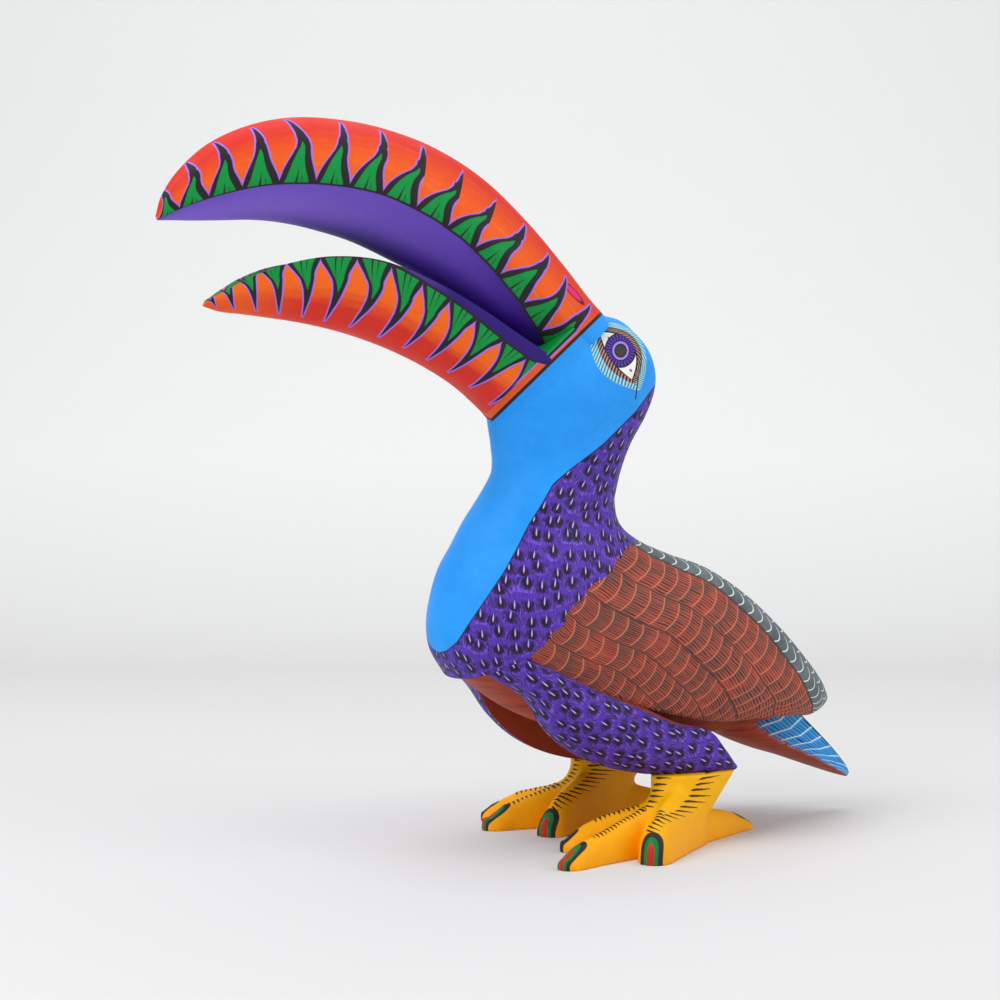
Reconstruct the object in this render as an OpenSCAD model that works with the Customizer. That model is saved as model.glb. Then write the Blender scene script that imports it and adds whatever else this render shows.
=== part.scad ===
// Hand-carved and painted wooden bird with a long open beak, built from
// separate carved blocks that are pegged together with round wooden dowels.
//
// Axes: +Z up, the bird faces -Y, its left side is +X.
// Origin: on the ground, under the middle of the figure's bounding box.

/* [Figure] */
// Half of the body's greatest width, over the folded wings
body_half_w = 50; // [46:1:54]
// Half of the neck's width at its narrowest place
neck_half_w = 28.5; // [26:0.5:31]
// Half of the head's width, across the eyes
head_half_w = 29.5; // [27:0.5:32]
// Half of the beak's width where it meets the head
beak_half_w = 25.5; // [23:0.5:27]
// Depth of the trough along the top of the lower beak
beak_trough = 4; // [2:0.5:6]
// How far the painted wing stands out beyond the breast surface behind its front edge
wing_proud = 2.5; // [1:0.5:4]
// Thickness of the carved wing
wing_thick = 9; // [8:0.5:10]
// Half-width of the flat flank that each thigh is glued to
flank_x = 24; // [22:0.5:25]

/* [Legs] */
// Sideways distance from the middle of the body to each shank
leg_x = 39; // [37:0.5:41]
// Height of the glued joint between thigh and leg
leg_joint_z = 37; // [35:0.5:39]
// Length of the middle front toe of the left foot, from the ankle
toe_len = 88; // [80:1:92]

/* [Dowels] */
// Diameter of the big dowels in the neck and beak
dowel_d = 10; // [8:1:12]
// Diameter of the small dowels in wings, thighs, legs and tail
peg_d = 6; // [5:0.5:7]
// Diametral clearance of every dowel in its hole
dowel_gap = 0.1; // [0.1:0.05:0.3]

/* [Facets] */
// Points round a carved block's section
ring_n = 40; // [32:4:48]
// Sections between two neighbouring control sections
steps = 2; // [1:1:3]

/* [Hidden] */
$fn = 48;
// moves the middle of the bounding box to the origin
shift = [-2.4, 63.75, 0];

// ---- helpers -------------------------------------------------------------

// signed power, used for superellipse sections
function sp(x, e) = sign(x) * pow(abs(x), e);
// Catmull-Rom curve through the rows of a table, for a fractional row number u
function cr(a, b, c, d, t) =
    0.5 * (2*b + (c - a)*t + (2*a - 5*b + 4*c - d)*t*t + (3*b - 3*c + d - a)*t*t*t);
function row(L, u) = let(n = len(L), i = max(0, min(floor(u), n - 2)), t = u - i)
    t < 1e-6 ? L[i] : t > 1 - 1e-6 ? L[i + 1] :
    cr(i > 0 ? L[i - 1] : 2*L[0] - L[1], L[i], L[i + 1],
       i + 2 < n ? L[i + 2] : 2*L[n - 1] - L[n - 2], t);
// every section of a table between rows a and b
function rows(L, a, b) = [for (i = [0 : (b - a)*steps]) row(L, a + i/steps)];

// A section lies in a plane that contains the X direction. Its first four numbers
// are its front (or lower) point and its back (or upper) point in the middle
// plane, as y, z, y, z; then come half-width, squareness and fullness to the front.
function fp(s) = [s[0], s[1]];
function bp(s) = [s[2], s[3]];
function lift(x, q) = [x, q[0], q[1]];
function onchord(s, t) = fp(s) + (bp(s) - fp(s))*t;
function unit(v) = v/norm(v);
// point at angle a round an oval section, 0 at the front and 180 at the back
function oval_pt(s, a) = let(c = sp(cos(a), 2/s[5]), k = sp(sin(a), 2/s[5]))
    lift(s[4]*k*(1 + s[6]*c), (fp(s) + bp(s))/2 + (fp(s) - bp(s))/2*c);
function oval(s, n = ring_n) = [for (i = [0 : n - 1]) oval_pt(s, 360*i/n)];

// triangles of a skin over equal-length closed sections, with fan caps from point k
function tube_faces(m, n, k0, k1) = concat(
    [for (i = [0 : m - 2], j = [0 : n - 1]) [i*n + j, i*n + (j + 1)%n, (i + 1)*n + (j + 1)%n]],
    [for (i = [0 : m - 2], j = [0 : n - 1]) [i*n + j, (i + 1)*n + (j + 1)%n, (i + 1)*n + j]],
    [for (j = [1 : n - 2]) [k0, (k0 + j + 1)%n, (k0 + j)%n]],
    [for (j = [1 : n - 2]) [(m - 1)*n + k1, (m - 1)*n + (k1 + j)%n, (m - 1)*n + (k1 + j + 1)%n]]);
module tube(R, k0 = 0, k1 = 0) {
    polyhedron([for (r = R) each r], tube_faces(len(R), len(R[0]), k0, k1));
}
// skin over band-shaped sections: an outer row of points and an inner row of the same length
function band_faces(m, h) = let(n = 2*h) concat(
    [for (i = [0 : m - 2], j = [0 : n - 1]) [i*n + j, i*n + (j + 1)%n, (i + 1)*n + (j + 1)%n]],
    [for (i = [0 : m - 2], j = [0 : n - 1]) [i*n + j, (i + 1)*n + (j + 1)%n, (i + 1)*n + j]],
    [for (j = [0 : h - 2]) each [[j, n - 2 - j, j + 1], [j, n - 1 - j, n - 2 - j]]],
    [for (j = [0 : h - 2]) let(o = (m - 1)*n)
        each [[o + j, o + j + 1, o + n - 2 - j], [o + j, o + n - 2 - j, o + n - 1 - j]]]);
module band(R) {
    polyhedron([for (r = R) each r], band_faces(len(R), len(R[0])/2));
}

// a round bar of diameter d from point a to point b
module bar(a, b, d) {
    v = b - a;
    translate(a) rotate([0, acos(v[2]/norm(v)), atan2(v[1], v[0])]) cylinder(d = d, h = norm(v));
}
// a dowel with chamfered ends
module dowel(a, b, d) {
    v = b - a; l = norm(v); c = 0.12*d;
    translate(a) rotate([0, acos(v[2]/l), atan2(v[1], v[0])])
        rotate_extrude() polygon([[0, 0], [d/2 - c, 0], [d/2, c], [d/2, l - c], [d/2 - c, l], [0, l]]);
}
module bore(p, d) { bar(p[0], p[1], d + dowel_gap); }
module both() { children(); mirror([1, 0, 0]) children(); }
function flip(p) = [[-p[0][0], p[0][1], p[0][2]], [-p[1][0], p[1][1], p[1][2]]];

// ---- control sections: front y, z, back y, z, half-width, squareness, fullness ----

// head and neck, from the beak joint to the neck joint
NECK = [
    [-91, 219, -27, 275, beak_half_w, 2.1, 0],
    [-90, 213, -17, 273, head_half_w - 2, 2.1, 0],
    [-89, 208, -8, 267, head_half_w - 0.5, 2.1, 0],
    [-88.5, 203, 0, 259, head_half_w, 2.1, 0],
    [-88, 197, 4.5, 249, head_half_w, 2.1, 0],
    [-89, 190, 4.5, 238, head_half_w - 0.7, 2.1, 0],
    [-94, 182, -0.5, 225, neck_half_w, 2.05, 0],
    [-100, 173.5, -10, 210, neck_half_w, 2.05, 0],
    [-106, 165, -17, 195, neck_half_w + 1.5, 2.05, 0],
    [-112.5, 153.5, -21.5, 180, neck_half_w + 3.5, 2.05, 0]];
// breast, from the neck joint to the front of the wings
BREAST = [
    [-112.5, 153.5, -21.5, 180, neck_half_w + 3.5, 2.05, 0],
    [-118.5, 142, -21.5, 172, body_half_w - 14, 2.1, 0],
    [-122.5, 128.5, -19, 166, body_half_w - 10.5, 2.1, 0],
    [-124, 114, -14.5, 161.5, body_half_w - 7, 2.15, 0],
    [-121.5, 101, -9, 158, body_half_w - 4.5, 2.2, 0],
    [-113.5, 88.5, -3, 155, body_half_w - 3, 2.2, 0]];
// back, from the front of the wings to the tail joint; the eighth number is
// where along the section the wing's lower edge lies
BACK = [
    [-113.5, 88.5, -3, 155, body_half_w - 3, 2.2, 0, 0.20],
    [-99, 78.5, 14, 149, body_half_w - 1.5, 2.1, 0, 0.20],
    [-84, 69, 37, 141.5, body_half_w - 0.5, 2.05, 0, 0.21],
    [-64, 60.5, 62, 127, body_half_w, 2.0, 0, 0.23],
    [-38, 54, 85, 109, body_half_w - 1, 1.9, 0, 0.24],
    [-5, 51, 103, 92, body_half_w - 3, 1.75, 0, 0.25],
    [24, 52, 116, 79, body_half_w - 7, 1.55, 0, 0.34],
    [44, 55, 124, 69, body_half_w - 14, 1.35, 0, 0.40]];
// upper beak, from the head joint to the tip
UPPER = [
    [-58, 248, -28, 274, beak_half_w, 2.1, 0],
    [-70, 256, -39, 284.5, beak_half_w, 2.1, 0.03],
    [-88, 266.8, -53, 300, beak_half_w, 2.1, 0.05],
    [-108, 278.8, -73.5, 320.5, beak_half_w - 0.5, 2.1, 0.06],
    [-127, 289.3, -99.5, 341.2, beak_half_w - 1, 2.1, 0.06],
    [-148, 298.1, -127.5, 355, beak_half_w - 2, 2.1, 0.06],
    [-169, 305.8, -156, 362.3, beak_half_w - 3.5, 2.1, 0.06],
    [-189, 310.3, -182, 364.5, beak_half_w - 5.5, 2.1, 0.06],
    [-206, 312.7, -205.5, 363, beak_half_w - 8, 2.1, 0.06],
    [-222, 313.2, -227, 357, beak_half_w - 10.5, 2.1, 0.06],
    [-238, 312, -246, 347, beak_half_w - 14, 2.1, 0.06],
    [-252, 311, -260, 334, beak_half_w - 17.5, 2.1, 0.06],
    [-262.5, 310.5, -268, 322, beak_half_w - 21, 2.1, 0.03],
    [-270, 310, -271, 312.5, 1.5, 2.1, 0]];
// lower beak, from the head joint to the tip
LOWER = [
    [-91, 219, -58, 248, beak_half_w, 2.2, 0],
    [-98, 226, -73.5, 249, beak_half_w, 2.2, 0],
    [-112, 236.5, -91.5, 258.2, beak_half_w - 0.5, 2.2, 0],
    [-131, 246.5, -114, 270.8, beak_half_w - 1, 2.2, 0],
    [-153, 255, -139, 282.6, beak_half_w - 2, 2.2, 0],
    [-176, 261.3, -165, 291, beak_half_w - 4, 2.2, 0],
    [-197, 265, -189, 292.3, beak_half_w - 6.5, 2.2, 0],
    [-214, 266.8, -208, 289.7, beak_half_w - 10, 2.2, 0],
    [-228, 268, -224, 284.5, beak_half_w - 14, 2.2, 0],
    [-239.5, 268.8, -236, 279, beak_half_w - 18.5, 2.1, 0],
    [-248, 271, -246.5, 273.5, 2, 2, 0]];
// tail, from its root under the back to the tip
TAIL = [
    [44, 55, 100, 64.8, 22, 2, 0],
    [56, 47.5, 108, 57, 21.5, 2, 0],
    [75, 40, 117, 49, 19, 2, 0],
    [93, 34.5, 126, 41, 15.5, 2, 0],
    [112, 28, 134, 33.2, 11, 2, 0],
    [130, 22, 141, 25.5, 6, 2, 0],
    [139.5, 19.3, 143.5, 21, 2.2, 2, 0]];
// thigh: lower front y, z, upper back y, z, width beyond the flank, top angle, roundness
THIGH = [
    [-105.5, 93.2, -92.5, 101.2, 17.5, 125, 0.85],
    [-88, 80, -77, 91.5, 20, 120, 0.85],
    [-76.5, 64, -58, 82.5, 21.5, 118, 0.85],
    [-61, 51, -34, 72.5, 22.5, 118, 0.8],
    [-40, 41.5, -9, 63, 22.5, 120, 0.7],
    [-14, 36, 13, 58.5, 22, 125, 0.5],
    [8, 34.5, 24.5, 48, 21, 135, 0.36],
    [28, 35, 33.5, 39, 19, 150, 0.3]];

// ---- shaping functions ---------------------------------------------------

// back section of the torso: round belly, flat flank, ledge, and the face that the wings sit on
function wing_in(s, a) = let(u = unit(bp(s) - fp(s)))
    oval_pt([s[0], s[1], s[2] - wing_thick*u[0], s[3] - wing_thick*u[1], s[4] - wing_thick, s[5], 0], a);
function t_ang(t) = acos(1 - 2*t);
function half_back(s) = let(tb = 0.10, tf = s[7] + 0.10, a0 = t_ang(min(0.9, s[7] + 0.2))) concat(
    [for (i = [0 : 4]) lift(flank_x*sin(22.5*i), onchord(s, 0.025 + tb*(1 - cos(22.5*i))))],
    [for (i = [1 : 3]) lift(flank_x, onchord(s, 0.025 + tb + (tf - tb - 0.025)*i/3))],
    [for (i = [0 : 9]) wing_in(s, a0 + (180 - a0)*i/9)]);
function back_ring(s) = let(h = half_back(s), n = len(h))
    concat(h, [for (i = [n - 2 : -1 : 1]) [-h[i][0], h[i][1], h[i][2]]]);
// breast section with as many points as a back section has
function breast_ring(s) = oval(s, 34);

// wing section: outer row from the lower edge up to the ridge, then the glued face back down
function wing_out(s, a, d) = let(c = sp(cos(a), 2/s[5]), k = sp(sin(a), 2/s[5]))
    lift((s[4] + d)*k, (fp(s) + bp(s))/2 + (fp(s) - bp(s))/2*c);
function wing_ring(s, d, m = 15) = let(a0 = t_ang(s[7])) concat(
    [for (i = [0 : m]) wing_out(s, a0 + (180 - a0)*i/m, d)],
    [for (i = [m : -1 : 0]) wing_in(s, a0 + (180 - a0)*i/m)]);

// lower beak section: round below, with a trough along the top
function beak_low(s, n) = let(u = unit(bp(s) - fp(s)), d = min(beak_trough, s[4]*0.2), e = bp(s) + u*d, h = n/2)
    concat(
        [for (i = [0 : h/2]) let(a = 180*i/h) lift(s[4]*sp(sin(a), 2/s[5]), e + (fp(s) - e)*sp(cos(a), 2/s[5]))],
        [for (i = [1 : h - 1]) let(x = 1 - 2*i/h) lift(s[4]*x, e - u*d*(1 - x*x))],
        [for (i = [h/2 : -1 : 1]) let(a = 180*i/h) lift(-s[4]*sp(sin(a), 2/s[5]), e + (fp(s) - e)*sp(cos(a), 2/s[5]))]);

// tail section: a roof with a ridge on top and a shallow round underside
function tail_ring(s) = let(te = 0.25) concat(
    [for (i = [0 : 6]) let(a = 15*i) lift(s[4]*sin(a), onchord(s, te*(1 - cos(a))))],
    [for (i = [1 : 6]) let(q = i/6) lift(s[4]*(1 - q), onchord(s, te + (1 - te)*q))],
    [for (i = [1 : 5]) let(q = i/6) lift(-s[4]*q, onchord(s, 1 - (1 - te)*q))],
    [for (i = [0 : 5]) let(a = 90 - 15*i) lift(-s[4]*sin(a), onchord(s, te*(1 - cos(a))))]);

// thigh section: flat on the flank, round outside
function thigh_ring(s, m = 15) = concat(
    [for (i = [0 : m]) let(a = s[5]*i/m)
        lift(flank_x + 0.6 + s[4]*pow(sin(a), s[6]), onchord(s, (1 - cos(a))/(1 - cos(s[5]))))],
    [lift(flank_x, bp(s)), lift(flank_x, onchord(s, 0.5)), lift(flank_x, fp(s))]);

// ---- dowel positions: each is the two end points ----

D_neck = [[[0, -70, 148], [0, -78, 186]], [[0, -44, 155], [0, -52, 193]]];
D_beak = [[[11, -32, 249], [11, -62, 281.5]], [[-11, -32, 249], [-11, -62, 281.5]],
          [[11, -64, 218], [11, -88, 244]], [[-11, -64, 218], [-11, -88, 244]]];
P_wing = [[[22, -15, 108], [43, -15, 108]], [[18, 48, 92], [39, 48, 92]]];
P_tail = [[[0, 62, 70], [0, 70, 46]], [[0, 82, 74], [0, 90, 50]]];
P_thigh = [[[12, -62, 74], [36, -62, 74]], [[12, -20, 56], [36, -20, 56]]];
P_leg = [[[0, 2, 52], [0, 2, 22]]];

// ---- pieces --------------------------------------------------------------

module torso() {
    color("rebeccapurple") difference() {
        tube(concat([for (s = rows(BREAST, 0, 5)) breast_ring(s)], [for (s = rows(BACK, 0, 7)) back_ring(s)]), 0, 17);
        for (p = D_neck) bore(p, dowel_d);
        for (p = P_wing) { bore(p, peg_d); bore(flip(p), peg_d); }
        for (p = P_thigh) { bore(p, peg_d); bore(flip(p), peg_d); }
        for (p = P_tail) bore(p, peg_d);
    }
}
module head_neck() {
    color("dodgerblue") difference() {
        tube([for (s = rows(NECK, 0, 9)) oval(s, 34)]);
        for (p = D_neck) bore(p, dowel_d);
        for (p = D_beak) bore(p, dowel_d);
    }
}
module upper_beak() {
    color("orangered") difference() {
        tube([for (s = rows(UPPER, 0, 13)) oval(s, 36)]);
        for (p = D_beak) bore(p, dowel_d);
    }
}
module lower_beak() {
    color("tomato") difference() {
        tube([for (s = rows(LOWER, 0, 10)) beak_low(s, 36)]);
        for (p = D_beak) bore(p, dowel_d);
    }
}
module wing() {
    difference() {
        band([for (i = [0 : 7*steps]) wing_ring(row(BACK, i/steps), wing_proud*min(1, i/steps/2))]);
        for (p = P_wing) bore(p, peg_d);
    }
}
module left_wing() { color("sienna") wing(); }
module right_wing() { color("sienna") mirror([1, 0, 0]) wing(); }
module tail() {
    color("steelblue") difference() {
        tube([for (s = rows(TAIL, 0, 6)) tail_ring(s)]);
        for (p = P_tail) bore(p, peg_d);
    }
}
module thigh() {
    difference() {
        tube([for (s = rows(THIGH, 0, 7)) thigh_ring(s)]);
        for (p = P_thigh) bore(p, peg_d);
        translate([leg_x, 0, 0]) for (p = P_leg) bore(p, peg_d);
        translate([0, -60, 0]) cube([80, 120, leg_joint_z]);
    }
}
module left_thigh() { color("mediumpurple") thigh(); }
module right_thigh() { color("mediumpurple") mirror([1, 0, 0]) thigh(); }

// one toe: length, direction from straight ahead, width, height at the root
module toe(l, a, w, h) {
    rotate([0, 0, a]) hull() {
        cylinder(r1 = w*0.62, r2 = w*0.3, h = h, $fn = 24);
        translate([0, -0.6*l, 0]) cylinder(r1 = w*0.52, r2 = w*0.16, h = h*0.74, $fn = 20);
        translate([0, -0.8*l, 0]) cylinder(r1 = w*0.46, r2 = w*0.13, h = h*0.56, $fn = 20);
        translate([0, -l + w*0.36, 0]) cylinder(r1 = w*0.36, r2 = w*0.2, h = 3, $fn = 16);
    }
}
// shank: an oval post that narrows down to the ankle
module shank() {
    hull() {
        translate([0, 6.5, leg_joint_z - 2]) scale([0.48, 1, 1]) cylinder(r = 24, h = 2, $fn = 32);
        translate([0, -2, 14]) scale([0.72, 1, 1]) cylinder(r = 15, h = 2, $fn = 32);
        translate([0, -4, 0]) scale([0.8, 1, 1]) cylinder(r = 16, h = 2, $fn = 32);
    }
}
// leg: shank and foot in one piece; toes is a list of [length, angle, width]
module leg(toes) {
    difference() {
        union() {
            shank();
            for (t = toes) toe(t[0], t[1], t[2], t[3]);
        }
        for (p = P_leg) bore(p, peg_d);
    }
}
module left_leg() {
    color("gold") translate([leg_x, 0, 0])
        leg([[toe_len*0.75, -11, 14, 22], [toe_len*1.04, 17, 16, 23], [toe_len*0.7, 40, 18, 27], [toe_len*0.72, 201, 15, 17.5]]);
}
module right_leg() {
    color("gold") translate([-leg_x, 0, 0])
        leg([[toe_len*0.67, 27, 18, 27], [toe_len*0.8, -6, 16, 22], [toe_len*0.76, -31, 15, 24], [toe_len*0.72, 158, 15, 19]]);
}

module neck_dowels() { color("burlywood") for (p = D_neck) dowel(p[0], p[1], dowel_d); }
module beak_dowels() { color("burlywood") for (p = D_beak) dowel(p[0], p[1], dowel_d); }
module wing_pegs() { color("burlywood") for (p = P_wing) both() dowel(p[0], p[1], peg_d); }
module tail_pegs() { color("burlywood") for (p = P_tail) dowel(p[0], p[1], peg_d); }
module thigh_pegs() { color("burlywood") for (p = P_thigh) both() dowel(p[0], p[1], peg_d); }
module leg_pegs() { color("burlywood") for (p = P_leg) both() translate([leg_x, 0, 0]) dowel(p[0], p[1], peg_d); }

translate(shift) {
    torso();
    head_neck();
    upper_beak();
    lower_beak();
    left_wing();
    right_wing();
    tail();
    left_thigh();
    right_thigh();
    left_leg();
    right_leg();
    neck_dowels();
    beak_dowels();
    wing_pegs();
    tail_pegs();
    thigh_pegs();
    leg_pegs();
}
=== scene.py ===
import math
import bpy
import bmesh
import numpy as np
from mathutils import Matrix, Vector


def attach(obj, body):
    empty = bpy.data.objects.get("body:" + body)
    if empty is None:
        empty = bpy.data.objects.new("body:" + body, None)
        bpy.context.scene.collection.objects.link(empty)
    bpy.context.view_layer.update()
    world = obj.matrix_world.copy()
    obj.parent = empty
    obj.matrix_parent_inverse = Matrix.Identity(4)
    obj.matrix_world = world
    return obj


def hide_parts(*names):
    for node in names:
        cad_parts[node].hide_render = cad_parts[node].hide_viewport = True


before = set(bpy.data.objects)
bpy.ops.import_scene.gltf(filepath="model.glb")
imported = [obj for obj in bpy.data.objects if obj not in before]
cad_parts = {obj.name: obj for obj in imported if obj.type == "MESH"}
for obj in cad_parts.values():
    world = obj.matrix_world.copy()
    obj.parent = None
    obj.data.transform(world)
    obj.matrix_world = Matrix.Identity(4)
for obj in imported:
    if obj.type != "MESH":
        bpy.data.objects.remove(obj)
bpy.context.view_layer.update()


# ---------------------------------------------------------------- geometry
# Bird frame in millimetres: the bird faces -Y, its left side is +X, +Z is up.
# SHIFT moves it to the frame of the CAD model.
SHIFT = np.array([-2.4, 63.75, 0.0])
FLANK = 24.0

NECK = np.array([
    [-91, 219, -27, 275, 25.5, 2.1, 0], [-90, 213, -17, 273, 27.5, 2.1, 0],
    [-89, 208, -8, 267, 29, 2.1, 0], [-88.5, 203, 0, 259, 29.5, 2.1, 0],
    [-88, 197, 4.5, 249, 29.5, 2.1, 0], [-89, 190, 4.5, 238, 28.8, 2.1, 0],
    [-94, 182, -0.5, 225, 28.5, 2.05, 0], [-100, 173.5, -10, 210, 28.5, 2.05, 0],
    [-106, 165, -17, 195, 30, 2.05, 0], [-112.5, 153.5, -21.5, 180, 32, 2.05, 0]])
BREAST = np.array([
    [-112.5, 153.5, -21.5, 180, 32, 2.05, 0], [-118.5, 142, -21.5, 172, 36, 2.1, 0],
    [-122.5, 128.5, -19, 166, 39.5, 2.1, 0], [-124, 114, -14.5, 161.5, 43, 2.15, 0],
    [-121.5, 101, -9, 158, 45.5, 2.2, 0], [-113.5, 88.5, -3, 155, 47, 2.2, 0]])
BACK = np.array([
    [-113.5, 88.5, -3, 155, 47, 2.2, 0, 0.20], [-99, 78.5, 14, 149, 48.5, 2.1, 0, 0.20],
    [-84, 69, 37, 141.5, 49.5, 2.05, 0, 0.21], [-64, 60.5, 62, 127, 50, 2.0, 0, 0.23],
    [-38, 54, 85, 109, 49, 1.9, 0, 0.24], [-5, 51, 103, 92, 47, 1.75, 0, 0.25],
    [24, 52, 116, 79, 43, 1.55, 0, 0.34], [44, 55, 124, 69, 36, 1.35, 0, 0.40]])
UPPER = np.array([
    [-58, 248, -28, 274, 25.5, 2.1, 0], [-70, 256, -39, 284.5, 25.5, 2.1, 0.03],
    [-88, 266.8, -53, 300, 25.5, 2.1, 0.05], [-108, 278.8, -73.5, 320.5, 25, 2.1, 0.06],
    [-127, 289.3, -99.5, 341.2, 24.5, 2.1, 0.06], [-148, 298.1, -127.5, 355, 23.5, 2.1, 0.06],
    [-169, 305.8, -156, 362.3, 22, 2.1, 0.06], [-189, 310.3, -182, 364.5, 20, 2.1, 0.06],
    [-206, 312.7, -205.5, 363, 17.5, 2.1, 0.06], [-222, 313.2, -227, 357, 15, 2.1, 0.06],
    [-238, 312, -246, 347, 11.5, 2.1, 0.06], [-252, 311, -260, 334, 8, 2.1, 0.06],
    [-262.5, 310.5, -268, 322, 4.5, 2.1, 0.03], [-270, 310, -271, 312.5, 1.5, 2.1, 0]])
LOWER = np.array([
    [-91, 219, -58, 248, 25.5, 2.2, 0], [-98, 226, -73.5, 249, 25.5, 2.2, 0],
    [-112, 236.5, -91.5, 258.2, 25, 2.2, 0], [-131, 246.5, -114, 270.8, 24.5, 2.2, 0],
    [-153, 255, -139, 282.6, 23.5, 2.2, 0], [-176, 261.3, -165, 291, 21.5, 2.2, 0],
    [-197, 265, -189, 292.3, 19, 2.2, 0], [-214, 266.8, -208, 289.7, 15.5, 2.2, 0],
    [-228, 268, -224, 284.5, 11.5, 2.2, 0], [-239.5, 268.8, -236, 279, 7, 2.1, 0],
    [-248, 271, -246.5, 273.5, 2, 2, 0]])
TAIL = np.array([
    [44, 55, 100, 64.8, 22, 2, 0], [56, 47.5, 108, 57, 21.5, 2, 0],
    [75, 40, 117, 49, 19, 2, 0], [93, 34.5, 126, 41, 15.5, 2, 0],
    [112, 28, 134, 33.2, 11, 2, 0], [130, 22, 141, 25.5, 6, 2, 0],
    [139.5, 19.3, 143.5, 21, 2.2, 2, 0]])
THIGH = np.array([
    [-88, 80, -77, 91.5, 20, 120, .85], [-76.5, 64, -58, 82.5, 21.5, 118, .85],
    [-61, 51, -34, 72.5, 22.5, 118, .8], [-40, 41.5, -9, 63, 22.5, 120, .7],
    [-14, 36, 13, 58.5, 22, 125, .5], [8, 34.5, 24.5, 48, 21, 135, .36],
    [28, 35, 33.5, 39, 19, 150, .3]])


def curve(T, u):
    """Catmull-Rom through the rows of T at the fractional row numbers u. T may have any trailing shape."""
    T = np.asarray(T, float)
    u = np.atleast_1d(np.asarray(u, float))
    n = len(T)
    i = np.clip(np.floor(u).astype(int), 0, n - 2)
    t = (u - i).reshape((-1,) + (1,) * (T.ndim - 1))
    E = np.concatenate([(2 * T[0] - T[1])[None], T, (2 * T[-1] - T[-2])[None]])
    a, b, c, d = E[i], E[i + 1], E[i + 2], E[i + 3]
    return 0.5 * (2 * b + (c - a) * t + (2 * a - 5 * b + 4 * c - d) * t**2 + (3 * b - 3 * c + d - a) * t**3)


def sp(x, e):
    return np.sign(x) * np.abs(x) ** e


def lift(x, q):
    """x offsets and (y, z) points to 3-D points."""
    return np.concatenate([np.asarray(x)[..., None], q], -1)


def oval(S, a, grow=0.0):
    """Section points at the angles a (radians, 0 at the front) for every row of S."""
    S = np.asarray(S)[:, None, :]
    a = np.asarray(a)
    if a.ndim == 1:
        a = a[None, :]
    c = sp(np.cos(a), 2 / S[..., 5])
    k = sp(np.sin(a), 2 / S[..., 5])
    f, b = S[..., 0:2], S[..., 2:4]
    q = (f + b) / 2 + (f - b) / 2 * c[..., None]
    return lift((S[..., 4] + grow) * k * (1 + S[..., 6] * c), q)


def onchord(S, t):
    f, b = S[:, None, 0:2], S[:, None, 2:4]
    return f + (b - f) * np.asarray(t)[..., None]


def along(P):
    """Running length of polylines: P is (..., n, 3)."""
    d = np.linalg.norm(np.diff(P, axis=-2), axis=-1)
    return np.concatenate([np.zeros(d.shape[:-1] + (1,)), np.cumsum(d, -1)], -1)


class Grid:
    """A skin over rings of equal length, closed round each ring, with optional flat ends."""

    def __init__(self, P, attrs, closed=True, caps=True):
        m, n = P.shape[:2]
        self.v = P.reshape(-1, 3)
        self.attrs = {k: np.broadcast_to(a, (m, n)).reshape(-1) for k, a in attrs.items()}
        i = np.arange(m - 1)[:, None] * n
        j = np.arange(n if closed else n - 1)[None, :]
        k = (j + 1) % n
        q = np.stack([i + j, i + k, i + n + k, i + n + j], -1).reshape(-1, 4)
        self.f = [tuple(x) for x in q.tolist()]
        if caps:
            self.f.append(tuple(range(n - 1, -1, -1)))
            self.f.append(tuple(range((m - 1) * n, m * n)))


def unroll(P, S, ref):
    """Side-view coordinates (y, z) that keep true lengths round each section, by symmetric angle.
    P is half a ring (m, h, 3) from front to back and ref the index of the point kept in place."""
    L = along(P)
    u = S[:, 2:4] - S[:, 0:2]
    u = u / np.linalg.norm(u, axis=1, keepdims=True)
    return P[:, ref, 1:3][:, None, :] + (L - L[:, ref:ref + 1])[..., None] * u[:, None, :]


def full_ring(H):
    """Half rings (m, h, ...) for x >= 0 to whole rings; H[:, 0] and H[:, -1] lie in the middle plane."""
    back = H[:, -2:0:-1].copy()
    if H.shape[-1] == 3:
        back[..., 0] *= -1
    return np.concatenate([H, back], 1)


def sym(A):
    """Symmetric attribute rings to go with full_ring."""
    return np.concatenate([A, A[:, -2:0:-1]], 1)


def angles(h):
    return np.linspace(0, np.pi, h)


def stations(T, step):
    """Row numbers along table T spaced about step mm apart along its middle."""
    u = np.linspace(0, len(T) - 1, 60 * (len(T) - 1) + 1)
    S = curve(T, u)
    mid = np.maximum(np.linalg.norm(np.diff(S[:, 0:2], axis=0), axis=1),
                     np.linalg.norm(np.diff(S[:, 2:4], axis=0), axis=1))
    L = np.concatenate([[0], np.cumsum(mid)])
    n = max(2, int(round(L[-1] / step)))
    w = np.interp(np.linspace(0, L[-1], n + 1), L, u)
    return w


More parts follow.
